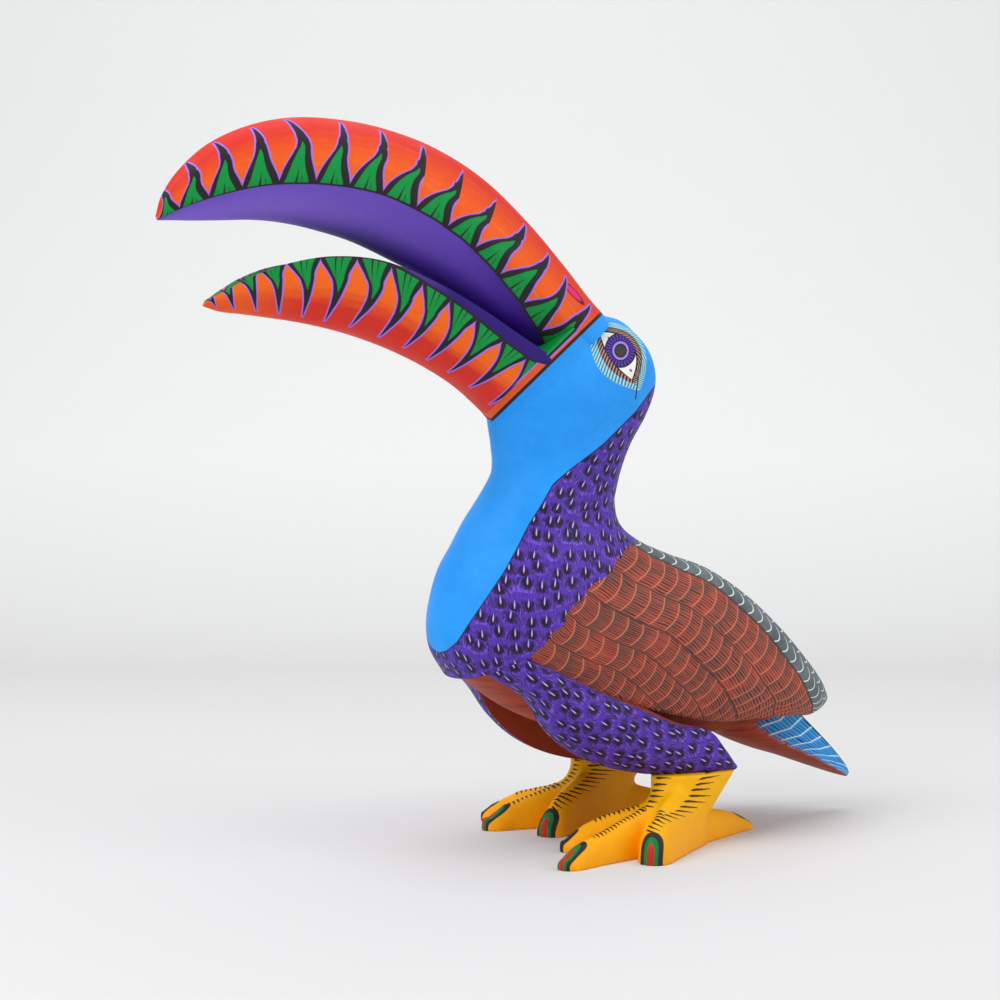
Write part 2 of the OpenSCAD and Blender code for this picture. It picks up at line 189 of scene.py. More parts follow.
def make_neck(step=1.6, h=61):
    u = stations(NECK, step)
    S = curve(NECK, u)
    H = oval(S, angles(h))
    q = unroll(H, S, h // 2)
    ax = np.array([0.0, -0.66, 0.75])
    F = []
    for t in (1.0, 0.75, 0.5, 0.25):
        P = H[0].copy()
        P[:, 0] *= 1.012
        P += ax * (0.56 * np.abs(P[:, :1]) - 0.2).clip(0) * t
        F.append(P)
    H = np.concatenate([np.array(F), H], 0)
    q = np.concatenate([np.array(F)[..., 1:3], q], 0)
    u = np.concatenate([np.array([-0.8, -0.6, -0.4, -0.2]), u])
    U = np.broadcast_to(u[:, None], H.shape[:2])
    A = np.broadcast_to(angles(h)[None] / np.pi, H.shape[:2])
    G = Grid(full_ring(H), {"u": sym(U), "a": sym(A), "py": sym(q[..., 0]), "pz": sym(q[..., 1])})
    n = 2 * h - 2
    G.f = [f for f in G.f if f != tuple(range(n - 1, -1, -1))]
    # the front end is closed by strips straight across, from left to right
    for j in range(0, h - 1):
        a, b, c, d = j, j + 1, (n - j - 1) % n, (n - j) % n
        f = [a, b, c, d]
        G.f.append(tuple(x for i, x in enumerate(f) if x not in f[:i]))
    return G


def make_upper(step=1.3, h=65):
    u = stations(UPPER, step)
    S = curve(UPPER, u)
    a = angles(h)
    H = oval(S, a)
    # the painted edge: a soft crease a little below half way, with a flatter keel under it
    t = (1 - np.cos(a)) / 2
    low = np.clip((0.40 - t) / 0.40, 0, 1)
    H[..., 0] *= 1 - 0.10 * low * (1 - low) * 4
    q = along(H)
    U = np.broadcast_to(u[:, None], H.shape[:2])
    A = np.broadcast_to(a[None] / np.pi, H.shape[:2])
    return Grid(full_ring(H), {"u": sym(U), "a": sym(A), "arc": sym(q)}), S, u


def make_lower(step=1.3, h=33, k=24):
    u = stations(LOWER, step)
    S = curve(LOWER, u)
    f, b = S[:, 0:2], S[:, 2:4]
    un = (b - f) / np.linalg.norm(b - f, axis=1, keepdims=True)
    d = np.minimum(4.0, S[:, 4] * 0.2)
    e = b + un * d[:, None]
    a = np.linspace(0, np.pi / 2, h)
    x = S[:, 4:5] * sp(np.sin(a)[None], 2 / S[:, 5:6])
    low = lift(x, e[:, None] + (f - e)[:, None] * sp(np.cos(a)[None], 2 / S[:, 5:6])[..., None])
    w = 1 - np.arange(1, k + 1) / k
    top = lift(S[:, 4:5] * w[None], e[:, None] - (un * d[:, None])[:, None] * (1 - w**2)[None, :, None])
    H = np.concatenate([low, top], 1)
    q = along(H)
    U = np.broadcast_to(u[:, None], H.shape[:2])
    A = np.broadcast_to(np.concatenate([a / (np.pi / 2), 1 + np.arange(1, k + 1) / k])[None], H.shape[:2])
    return Grid(full_ring(H), {"u": sym(U), "a": sym(A), "arc": sym(q)}), S, u


def wing_in(S, a, thick=9.0):
    un = S[:, 2:4] - S[:, 0:2]
    un = un / np.linalg.norm(un, axis=1, keepdims=True)
    Q = S[:, :7].copy()
    Q[:, 2:4] -= thick * un
    Q[:, 4] -= thick
    Q[:, 6] = 0
    return oval(Q, a)


def t_ang(t):
    return np.arccos(1 - 2 * t)


def half_back(S):
    """Back section of the torso: round belly, flat flank, ledge and wing face."""
    tb, tf = 0.10, S[:, 7] + 0.10
    a0 = t_ang(np.minimum(0.9, S[:, 7] + 0.2))
    g = np.linspace(0, np.pi / 2, 13)
    one = np.ones((len(S), 1))
    belly = lift(FLANK * np.sin(g)[None] * one, onchord(S, (0.025 + tb * (1 - np.cos(g)))[None] * one))
    w = np.arange(1, 9)[None] / 8
    flank = lift(FLANK * np.ones((len(S), 8)), onchord(S, 0.025 + tb + (tf[:, None] - tb - 0.025) * w))
    a = a0[:, None] + (np.pi - a0[:, None]) * np.linspace(0, 1, 24)[None]
    return np.concatenate([belly, flank, wing_in(S, a)], 1)


def make_torso(step=1.6):
    u1 = stations(BREAST, step)
    S1 = curve(BREAST, u1)
    n = len(half_back(BACK[:1])[0])
    a = angles(n)
    H1 = oval(S1, a)
    q1 = unroll(H1, S1, n // 2)
    u2 = stations(BACK, 4.0)
    S2 = curve(BACK, u2)
    H2 = half_back(S2)
    q2 = np.stack([H2[..., 1], H2[..., 2]], -1)
    H = np.concatenate([H1, H2], 0)
    q = np.concatenate([q1, q2], 0)
    U = np.concatenate([np.broadcast_to(u1[:, None], H1.shape[:2]), 5.5 + np.broadcast_to(u2[:, None], H2.shape[:2])], 0)
    A = np.concatenate([np.broadcast_to(a[None] / np.pi, H1.shape[:2]), np.full(H2.shape[:2], -1.0)], 0)
    L1 = along(H1)
    r = np.concatenate([L1[:, -1:] - L1, np.full(H2.shape[:2], 50.0)], 0)
    s1 = np.swapaxes(along(np.swapaxes(H1, 0, 1)), 0, 1)
    s = np.concatenate([s1 - s1[-1:], np.zeros(H2.shape[:2])], 0)
    return Grid(full_ring(H), {"u": sym(U), "a": sym(A), "py": sym(q[..., 0]), "pz": sym(q[..., 1]),
                               "r": sym(r), "s": sym(s)})


def make_wing(step=1.8, m=84, side=1):
    u = stations(BACK, step)
    S = curve(BACK, u)
    a0 = t_ang(S[:, 7])[:, None]
    a = a0 + (np.pi - a0) * np.linspace(0, 1, m)[None]
    grow = 2.5 * np.minimum(1, u / 2)[:, None]
    out = oval(np.concatenate([S[:, :6], np.zeros((len(S), 1))], 1), a, grow)
    # the lower edge is rounded over on its outside
    L = along(out)
    R = L[:, -1:] - L
    edge = np.clip(1 - L / 3.0, 0, 1) ** 2
    out[..., 0] -= 1.6 * edge
    inn = wing_in(S, a)[:, ::-4]
    mid = (out[:, :1] + inn[:, -1:]) / 2
    q = unroll(out, S, 0)
    # running length along the lower edge and ridge
    s = along(np.swapaxes(out, 0, 1))
    s = np.swapaxes(s, 0, 1)
    k = inn.shape[1]
    P = np.concatenate([out, inn, mid], 1)
    def pad(x, v):
        return np.concatenate([x, np.full((len(S), k + 1), v)], 1)
    U = np.broadcast_to(u[:, None], out.shape[:2])
    att = {"u": pad(U, 0), "r": pad(R, -5), "s": pad(s, 0), "l": pad(L, -5),
           "py": pad(q[..., 0], 0), "pz": pad(q[..., 1], 0)}
    if side < 0:
        P = P * np.array([-1, 1, 1])
    return Grid(P, att)


def make_thigh(step=1.8, m=44, side=1):
    """Rings of the thigh: the first rows are the breast's own last rows, so the skin runs on smoothly."""
    def breast_part(S, t0, t1, x_scale=1.0):
        t = t0 + (t1 - t0) * np.linspace(0, 1, m)
        P = oval(S[None], t_ang(t))[0]
        return P
    R = []
    B4, B5 = BREAST[4], BREAST[5]
    t24 = (1 - np.sqrt(1 - (FLANK / B5[4]) ** 2.2)) / 2
    R.append(breast_part(B4, t24, 0.19))
    R.append(breast_part(B5, t24, 0.19))
    for s in THIGH:
        a = np.radians(s[5]) * np.linspace(0, 1, m)
        f, b = s[0:2], s[2:4]
        q = f + (b - f) * ((1 - np.cos(a)) / (1 - np.cos(np.radians(s[5]))))[:, None]
        R.append(lift(FLANK + s[4] * np.sin(a) ** s[6] + 0.6, q))
    R = np.array(R)
    n = len(R) - 1
    w = np.linspace(1, n, int(150 / step))
    out = curve(R, w)
    out[..., 0] = np.maximum(out[..., 0], FLANK)
    q = out[:, -1:, 1:3] + 0
    L = along(out)
    d = out[:, -1, 1:3] - out[:, 0, 1:3]
    d = d / np.linalg.norm(d, axis=1, keepdims=True)
    q = out[:, -1:, 1:3] - (L[:, -1:] - L)[..., None] * d[:, None]
    k = 8
    g = np.linspace(0, 1, k)[None, :, None]
    top, bot = out[:, -1:].copy(), out[:, :1].copy()
    top[..., 0] = FLANK
    bot[..., 0] = FLANK
    inn = top + (bot - top) * g
    lip = out[:, -1:].copy()
    lip[..., 0] = np.maximum(lip[..., 0] - 2.0, FLANK)
    lip[..., 1:3] += d[:, None] * 3.6 * np.clip((38.0 - w)[:, None, None], 0, 1) * np.clip((6.2 - w) / 2.0, 0, 1)[:, None, None]
    inn[:, 0] = lip[:, 0]
    P = np.concatenate([out, inn], 1)
    W = np.broadcast_to(w[:, None], out.shape[:2])
    def pad(x, v=0):
        return np.concatenate([x, np.full((len(out), k), v)], 1)
    # z is cut flat where the leg is glued on
    P[..., 2] = np.maximum(P[..., 2], 37.0)
    att = {"w": pad(W), "py": pad(q[..., 0]), "pz": pad(q[..., 1]), "in": pad(np.zeros_like(W), 1), "l": pad(L)}
    if side < 0:
        P = P * np.array([-1, 1, 1])
    return Grid(P, att)


def make_tail(step=1.2, h=19, k=25):
    u = stations(TAIL, step)
    S = curve(TAIL, u)
    te = 0.25
    one = np.ones((len(S), 1))
    a = np.linspace(0, np.pi / 2, h)
    low = lift(S[:, 4:5] * np.sin(a)[None], onchord(S, (te * (1 - np.cos(a)))[None] * one))
    w = np.arange(1, k + 1) / k
    top = lift(S[:, 4:5] * (1 - w)[None], onchord(S, (te + (1 - te) * w)[None] * one))
    H = np.concatenate([low, top], 1)
    L = along(H)
    U = np.broadcast_to(u[:, None], H.shape[:2])
    A = np.broadcast_to(np.concatenate([a / (np.pi / 2) - 1, w])[None], H.shape[:2])
    s = np.swapaxes(along(np.swapaxes(H, 0, 1)), 0, 1)
    return Grid(full_ring(H), {"u": sym(U), "a": sym(A), "s": sym(s), "arc": sym(L)})


# ---------------------------------------------------------------- legs

def nets(F, lo, h):
    """Surface of the zero level of F (positive inside) as quads, one vertex in every crossed cell."""
    nx, ny, nz = F.shape
    ins = F > 0
    c = [ins[i:nx - 1 + i, j:ny - 1 + j, k:nz - 1 + k] for i in (0, 1) for j in (0, 1) for k in (0, 1)]
    s = sum(x.astype(np.int8) for x in c)
    act = (s > 0) & (s < 8)
    idx = -np.ones(act.shape, int)
    idx[act] = np.arange(act.sum())
    acc = np.zeros(act.shape + (3,))
    cnt = np.zeros(act.shape)
    for ax in range(3):
        A = [slice(None)] * 3
        B = [slice(None)] * 3
        A[ax], B[ax] = slice(0, -1), slice(1, None)
        f0, f1 = F[tuple(A)], F[tuple(B)]
        cross = (f0 > 0) != (f1 > 0)
        t = np.where(cross, f0 / np.where(cross, f0 - f1, 1), 0)
        o = [a for a in range(3) if a != ax]
        for i in (0, 1):
            for j in (0, 1):
                sl = [slice(None)] * 3
                sl[o[0]] = slice(i, F.shape[o[0]] - 1 + i)
                sl[o[1]] = slice(j, F.shape[o[1]] - 1 + j)
                cc, tt = cross[tuple(sl)], t[tuple(sl)]
                p = [0.0, 0.0, 0.0]
                p[o[0]], p[o[1]] = i, j
                for a in range(3):
                    acc[..., a] += cc * (tt if a == ax else p[a])
                cnt += cc
    V = np.argwhere(act) + (acc[act] / cnt[act][:, None])
    V = V * h + np.array(lo)
    faces = []
    for ax in range(3):
        A = [slice(None)] * 3
        B = [slice(None)] * 3
        A[ax], B[ax] = slice(0, -1), slice(1, None)
        f0, f1 = ins[tuple(A)], ins[tuple(B)]
        o = [(ax + 1) % 3, (ax + 2) % 3]
        e = np.argwhere(f0 != f1)
        e = e[(e[:, o[0]] > 0) & (e[:, o[1]] > 0)]
        e = e[(e[:, o[0]] < F.shape[o[0]] - 1) & (e[:, o[1]] < F.shape[o[1]] - 1)]
        q = []
        for i, j in ((0, 0), (1, 0), (1, 1), (0, 1)):
            k = e.copy()
            k[:, o[0]] -= i
            k[:, o[1]] -= j
            q.append(idx[k[:, 0], k[:, 1], k[:, 2]])
        q = np.stack(q, -1)
        fl = f0[e[:, 0], e[:, 1], e[:, 2]]
        q[~fl] = q[~fl][:, ::-1]
        faces.append(q)
    return V, np.concatenate(faces)


# every toe: direction in degrees from straight ahead, length, half-width at root and near the tip,
# and ridge height at distances from the ankle
LEFT_TOES = [
    (17, 95.0, 10.5, 6.8, [(0, 30), (25, 25.5), (40, 21), (61, 16), (75, 13), (84, 10.5), (91, 6)]),
    (40, 61.0, 11.5, 8.6, [(0, 33), (22, 29), (40, 24.5), (50, 20.5), (57, 15), (60, 9)]),
    (-11, 67.5, 9.5, 6.5, [(0, 27), (24, 22), (35, 19.5), (46, 17), (54, 13.5), (60, 10), (65, 6)]),
    (201, 64.0, 9.0, 6.5, [(0, 22), (21, 16), (36, 13.3), (49, 10), (56, 7), (61, 4)])]
RIGHT_TOES = [
    (27, 59.5, 11.5, 8.5, [(0, 33), (22, 28.5), (43, 20.5), (51, 15), (57, 9)]),
    (-6, 71.0, 10.5, 7.0, [(0, 33), (19, 26.5), (28, 22), (43, 17.5), (58, 13), (67, 7)]),
    (-31, 66.0, 9.5, 6.4, [(0, 30), (28, 20), (45, 16.5), (52, 13), (60, 9), (65, 5)]),
    (158, 63.0, 9.0, 6.5, [(0, 24), (16, 21), (29, 17.5), (45, 12), (56, 7.5), (61, 4)])]


def smin(a, b, k):
    """Smooth union for fields that are positive inside."""
    h = np.clip(0.5 + 0.5 * (a - b) / k, 0, 1)
    return b + (a - b) * h + k * h * (1 - h)


def toe_field(X, Y, Z, t):
    ang, L, w0, w1, prof = t
    a = math.radians(ang)
    d = np.array([math.sin(a), -math.cos(a)])
    p = X * d[0] + Y * d[1]
    q = -X * d[1] + Y * d[0]
    pr = np.array(prof, float)
    H = np.interp(p, pr[:, 0], pr[:, 1])
    W = w0 + (w1 - w0) * np.clip(p / (L * 0.75), 0, 1) ** 1.3
    end = np.clip((p - (L - w1 * 1.25)) / (w1 * 1.25), 0, 1.2)
    W = W * np.sqrt(np.clip(1 - end**2.3, 0.01, 1))
    # a rounded ridge over a flat sole, with the sides leaning in
    z = np.clip(Z / H, 0, None)
    s = np.abs(q) / W
    r = (s**1.7 + z**2.0) ** (1 / 1.85)
    f = (1 - r) * np.minimum(W, H)
    f = np.minimum(f, (L - p) * 1.2)
    back = np.clip(-p, 0, None)
    f = np.where(p < 0, f - back * 0.9, f)
    return f


def shank_field(X, Y, Z):
    z = np.clip(Z, 0, 40)
    zz = np.array([0, 10, 15, 18, 25, 32, 38, 40.0])
    yf = np.interp(z, zz, [-22, -24, -22.5, -21, -18.5, -18, -18, -18])
    yb = np.interp(z, zz, [12, 13, 14, 17, 22.5, 28, 32.5, 33.5])
    hw = np.interp(z, zz, [12, 11.3, 10.8, 10.5, 10.5, 11, 11.6, 11.8])
    c, r = (yf + yb) / 2, (yb - yf) / 2
    s = ((np.abs(X) / hw) ** 2.2 + (np.abs(Y - c) / r) ** 2.2) ** (1 / 2.2)
    return (1 - s) * np.minimum(hw, r)


def make_leg(toes, side, h=1.15):
    lo = np.array([-62.0, -98.0, -2 * h + 0.02])
    n = (np.array([124.0, 170.0, 37.0 + 2 * h]) / h).astype(int) + 2
    g = [lo[i] + h * np.arange(n[i]) for i in range(3)]
    X, Y, Z = np.meshgrid(*g, indexing="ij")
    F = shank_field(X, Y, Z)
    for t in toes:
        F = smin(F, toe_field(X, Y, Z, t), 3.0)
    F = np.minimum(F, 37.0 - Z)
    F = np.minimum(F, Z + 0.0)
    V, Q = nets(F, lo, h)
    V[:, 2] = np.clip(V[:, 2], 0, 37.0)
    V[:, 0] += side * 39.0
    return V, Q


# ---------------------------------------------------------------- shader graphs

class S:
    """A value in a shader graph: arithmetic on it adds Math nodes."""
    tree = None

    def __init__(self, k):
        self.k = k

    @staticmethod
    def op(kind, *a):
        n = S.tree.nodes.new("ShaderNodeMath")
        n.operation = kind
        for i, x in enumerate(a):
            S.feed(n.inputs[i], x)
        return S(n.outputs[0])

    @staticmethod
    def feed(sock, x):
        if isinstance(x, S):
            S.tree.links.new(x.k, sock)
        else:
            sock.default_value = x

    def __add__(s, o): return S.op("ADD", s, o)
    def __radd__(s, o): return S.op("ADD", o, s)
    def __sub__(s, o): return S.op("SUBTRACT", s, o)
    def __rsub__(s, o): return S.op("SUBTRACT", o, s)
    def __mul__(s, o): return S.op("MULTIPLY", s, o)
    def __rmul__(s, o): return S.op("MULTIPLY", o, s)
    def __truediv__(s, o): return S.op("DIVIDE", s, o)
    def __rtruediv__(s, o): return S.op("DIVIDE", o, s)
    def __neg__(s): return S.op("MULTIPLY", s, -1.0)


def attr(name):
    n = S.tree.nodes.new("ShaderNodeAttribute")
    n.attribute_name = name
    return S(n.outputs["Fac"])


def absf(a): return S.op("ABSOLUTE", a)
def floor(a): return S.op("FLOOR", a)
def fract(a): return S.op("FRACT", a)
def vmax(a, b): return S.op("MAXIMUM", a, b)
def vmin(a, b): return S.op("MINIMUM", a, b)
def power(a, b): return S.op("POWER", a, b)
def sqrt(a): return S.op("SQRT", a)
def sin(a): return S.op("SINE", a)
def cos(a): return S.op("COSINE", a)
def atan2(a, b): return S.op("ARCTAN2", a, b)


def step(a, edge, soft):
    """0 below edge, 1 above it, over a soft width."""
    n = S.tree.nodes.new("ShaderNodeMapRange")
    n.interpolation_type = "SMOOTHSTEP"
    S.feed(n.inputs["Value"], a)
    if isinstance(edge, S):
        S.feed(n.inputs["From Min"], edge - soft / 2)
        S.feed(n.inputs["From Max"], edge + soft / 2)
    else:
        n.inputs["From Min"].default_value = edge - soft / 2
        n.inputs["From Max"].default_value = edge + soft / 2
    return S(n.outputs["Result"])


def ramp(a, x0, x1, y0=0.0, y1=1.0):
    n = S.tree.nodes.new("ShaderNodeMapRange")
    S.feed(n.inputs["Value"], a)
    n.inputs["From Min"].default_value = x0
    n.inputs["From Max"].default_value = x1
    n.inputs["To Min"].default_value = y0
    n.inputs["To Max"].default_value = y1
    return S(n.outputs["Result"])


def fcurve(a, pts, x0=0.0, x1=1.0, y1=1.0, linear=False):
    """A drawn curve through pts, with x from x0 to x1 and y up to y1."""
    n = S.tree.nodes.new("ShaderNodeFloatCurve")
    c = n.mapping.curves[0]
    pts = [((x - x0) / (x1 - x0), y / y1) for x, y in pts]
    while len(c.points) < len(pts):
        c.points.new(0.5, 0.5)
    for p, (x, y) in zip(c.points, pts):
        p.location = (x, y)
        p.handle_type = "VECTOR" if linear else "AUTO_CLAMPED"
    n.mapping.extend = "HORIZONTAL"
    n.mapping.use_clip = False
    n.mapping.update()
    S.feed(n.inputs["Value"], (a - x0) * (1.0 / (x1 - x0)))
    return S(n.outputs[0]) * y1


def vec(x, y, z=0.0):
    n = S.tree.nodes.new("ShaderNodeCombineXYZ")
    for i, v in enumerate((x, y, z)):
        S.feed(n.inputs[i], v)
    return S(n.outputs[0])


def noise(v, scale, detail=2.0, rough=0.5):
    n = S.tree.nodes.new("ShaderNodeTexNoise")
    S.feed(n.inputs["Vector"], v)
    n.inputs["Scale"].default_value = scale
    n.inputs["Detail"].default_value = detail
    n.inputs["Roughness"].default_value = rough
    return S(n.outputs["Fac"])


def hash1(a, seed=0.0):
    """A fixed random number from 0 to 1 for every whole number."""
    n = S.tree.nodes.new("ShaderNodeTexWhiteNoise")
    n.noise_dimensions = "2D"
    S.feed(n.inputs["Vector"], vec(a, seed))
    return S(n.outputs["Value"])


def rgb(c):
    """A paint colour given as 0-255 screen values, turned to linear light."""
    return tuple((x / 255 / 12.92 if x / 255 <= 0.04045 else ((x / 255 + 0.055) / 1.055) ** 2.4) for x in c) + (1.0,)


def mix(a, b, f):
    n = S.tree.nodes.new("ShaderNodeMix")
    n.data_type = "RGBA"
    S.feed(n.inputs[0], f)
    for sock, x in ((n.inputs[6], a), (n.inputs[7], b)):
        if isinstance(x, S):
            S.tree.links.new(x.k, sock)
        else:
            sock.default_value = rgb(x)
    return S(n.outputs[2])


def scale_colour(c, f):
    """Colour times a value."""
    n = S.tree.nodes.new("ShaderNodeVectorMath")
    n.operation = "SCALE"
    S.feed(n.inputs[0], c)
    S.feed(n.inputs[3], f)
    return S(n.outputs[0])


def obj_coords():
    n = S.tree.nodes.new("ShaderNodeTexCoord")
    return S(n.outputs["Object"])


def new_mat(name):
    m = bpy.data.materials.new(name)
    m.use_nodes = True
    t = m.node_tree
    for n in list(t.nodes):
        t.nodes.remove(n)
    S.tree = t
    return m


def finish_mat(m, colour, rough=0.55, bump_extra=None, bump=0.25, spec=0.22, grain=True):
    """Principled surface with a fine brush-and-grain relief."""
    t = m.node_tree
    out = t.nodes.new("ShaderNodeOutputMaterial")
    b = t.nodes.new("ShaderNodeBsdfPrincipled")
    t.links.new(b.outputs[0], out.inputs[0])
    P = obj_coords()
    fine = noise(P, 900.0, 3.0, 0.6)
    wide = noise(P, 60.0, 2.0, 0.5)
    h = fine * 0.5 + wide * 0.6
    if bump_extra is not None:
        h = h + bump_extra
    S.feed(b.inputs["Roughness"], ramp(wide, 0.3, 0.7, rough - 0.06, rough + 0.06))
    b.inputs["Specular IOR Level"].default_value = spec
    col = scale_colour(colour, ramp(noise(P, 220.0, 3.0, 0.6), 0.3, 0.7, 0.965, 1.035))
    t.links.new(col.k, b.inputs["Base Color"])
    n = t.nodes.new("ShaderNodeBump")
    n.inputs["Strength"].default_value = bump
    n.inputs["Distance"].default_value = 0.00018
    t.links.new(h.k, n.inputs["Height"])
    t.links.new(n.outputs[0], b.inputs["Normal"])
    return m


# ---------------------------------------------------------------- paints

BLACK = (42, 34, 40)
LAV = (165, 118, 232)
GREEN = (0, 152, 66)
BLUE = (38, 160, 254)


def line_mask(d, half, soft):
    """1 where the distance d is within half of zero."""
    return 1.0 - step(absf(d), half, soft)


def mat_upper():
    m = new_mat("paint_upper_beak")
    k, v, bd = attr("k"), attr("v"), attr("bd")
    i = floor(k)
    x = k - i
    ic = i + 0.5
    vt = fcurve(ic, [(-0.5, 1.3), (0.5, .96), (1.5, .90), (2.5, .85), (3.5, .88), (4.5, .80), (5.5, .77), (6.5, .74), (7.5, .68), (8.5, .63), (9.5, .65), (10.5, .60), (11.5, .58), (12.5, .63)], -1, 13, 1.4)
    ct = fcurve(ic, [(-0.5, .9), (0.5, .78), (1.5, .62), (2.5, .58), (3.5, .42), (4.5, .77), (5.5, .845), (6.5, .92), (7.5, 1.02), (8.5, 1.04), (9.5, .84), (10.5, .66), (11.5, .33), (12.5, .38)], -1, 13, 1.2)
    cb = fcurve(ic, [(-0.5, .8), (0.5, .815), (1.5, .73), (2.5, .675), (3.5, .57), (4.5, .80), (5.5, .92), (6.5, .95), (7.5, .99), (8.5, 1.0), (9.5, .88), (10.5, .71), (11.5, .44), (12.5, .36)], -1, 13, 1.2)
    ca = fcurve(ic, [(-0.5, .7), (0.5, .76), (1.5, .69), (2.5, .60), (3.5, .71), (4.5, .68), (5.5, .78), (6.5, .82), (7.5, .83), (8.5, .81), (9.5, .73), (10.5, .60), (11.5, .54), (12.5, .34)], -1, 13, 1.2)
    g = v / vt
    ha = fcurve(g, [(0, 0), (.165, .08), (.263, .22), (.345, .42), (.428, .66), (.52, .84), (.64, .60), (.757, .22), (.88, .02), (1, 0)], 0, 1, 1)
    hb = fcurve(g, [(0, 0), (.345, .03), (.428, .09), (.52, .2), (.64, .44), (.757, .7), (.88, .53), (1, 0)], 0, 1, 1)
    hc = fcurve(g, [(0, 0), (.64, 0), (.757, .12), (.88, .46), (1, 1)], 0, 1, 1)
    c = 0.5 + (ca - 0.5) * ha + (cb - 0.5) * hb + (ct - 0.5) * hc
    w = fcurve(g, [(0, .53), (.05, .50), (.1, .465), (.165, .42), (.263, .335), (.345, .265), (.428, .205), (.526, .155), (.64, .112), (.757, .076), (.87, .042), (1, .0)], 0, 1, 1)
    w = vmax(w, 0.0) - step(g, 1.0, 0.02)
    dx = x - c
    e = w - absf(dx)                      # inside positive, in pitch units
    body = step(e, 0.0, 0.02)
    lav = step(e, -0.045, 0.02)
    gw = fcurve(g, [(0, .35), (.05, .315), (.1, .275), (.165, .225), (.263, .165), (.36, .115), (.46, .066), (.56, 0)], 0, 1, 1) - step(g, 0.555, 0.02)
    dg = dx + 0.02
    grn = step(gw - absf(dg), 0.0, 0.03)
    slit = step(0.034 * (1.0 - v * 5.0) - absf(dx + 0.03 - v * 0.25), 0.0, 0.02) * (1.0 - step(v, 0.17, 0.03))
    slit2 = step(0.012 - absf(dx - 0.15 + v * 0.5), 0.0, 0.012) * (1.0 - step(v, 0.09, 0.02))
    streak = noise(vec(k * 0.35, v * 9.0, 0.0), 2.2, 4.0, 0.6)
    base = mix((252, 100, 28), (220, 48, 34), ramp(v + (streak - 0.5) * 0.32, 0.30, 0.66))
    base = mix(base, (255, 132, 40), ramp(streak, 0.56, 0.74) * (1.0 - step(v, 0.5, 0.4)) * 0.8)
    # the nostril
    nx, nv = (k - 11.76) / 0.36, (v - 0.505 - (k - 11.76) * 0.05) / 0.038
    nd = sqrt(nx * nx + nv * nv)
    base = mix(base, (70, 20, 40), 1.0 - step(nd, 1.25, 0.25))
    base = mix(base, (238, 40, 120), 1.0 - step(nd, 0.95, 0.2))
    col = mix(base, LAV, lav)
    col = mix(col, BLACK, body)
    col = mix(col, GREEN, grn)
    col = mix(col, BLACK, vmax(slit, slit2 * 0.8))
    col = mix(col, BLACK, 1.0 - step(v, 0.016, 0.012))
    # painted shade and light on the violet underside: darker deep into the mouth towards its corner, darker next to the
    # painted edge line, lighter out on the keel
    mouth_shade = ramp(k, 3.0, 11.5)
    vio = mix((130, 100, 208), (70, 30, 160), mouth_shade)
    vio = mix(vio, (100, 66, 190), ramp(v, -0.30, -0.02) * (1.0 - mouth_shade) * 0.6)
    vio = mix(vio, (48, 16, 112), ramp(v, -0.16, -0.02) * ramp(k, 8.5, 12.5))
    col = mix(col, vio, 1.0 - step(v, -0.006, 0.008))
    # neck of the beak: black ring, then the blue of the head
    col = mix(col, BLACK, step(bd, -1.9, 0.9))
    col = mix(col, BLUE, step(bd, 1.5, 0.9))
    return finish_mat(m, col)


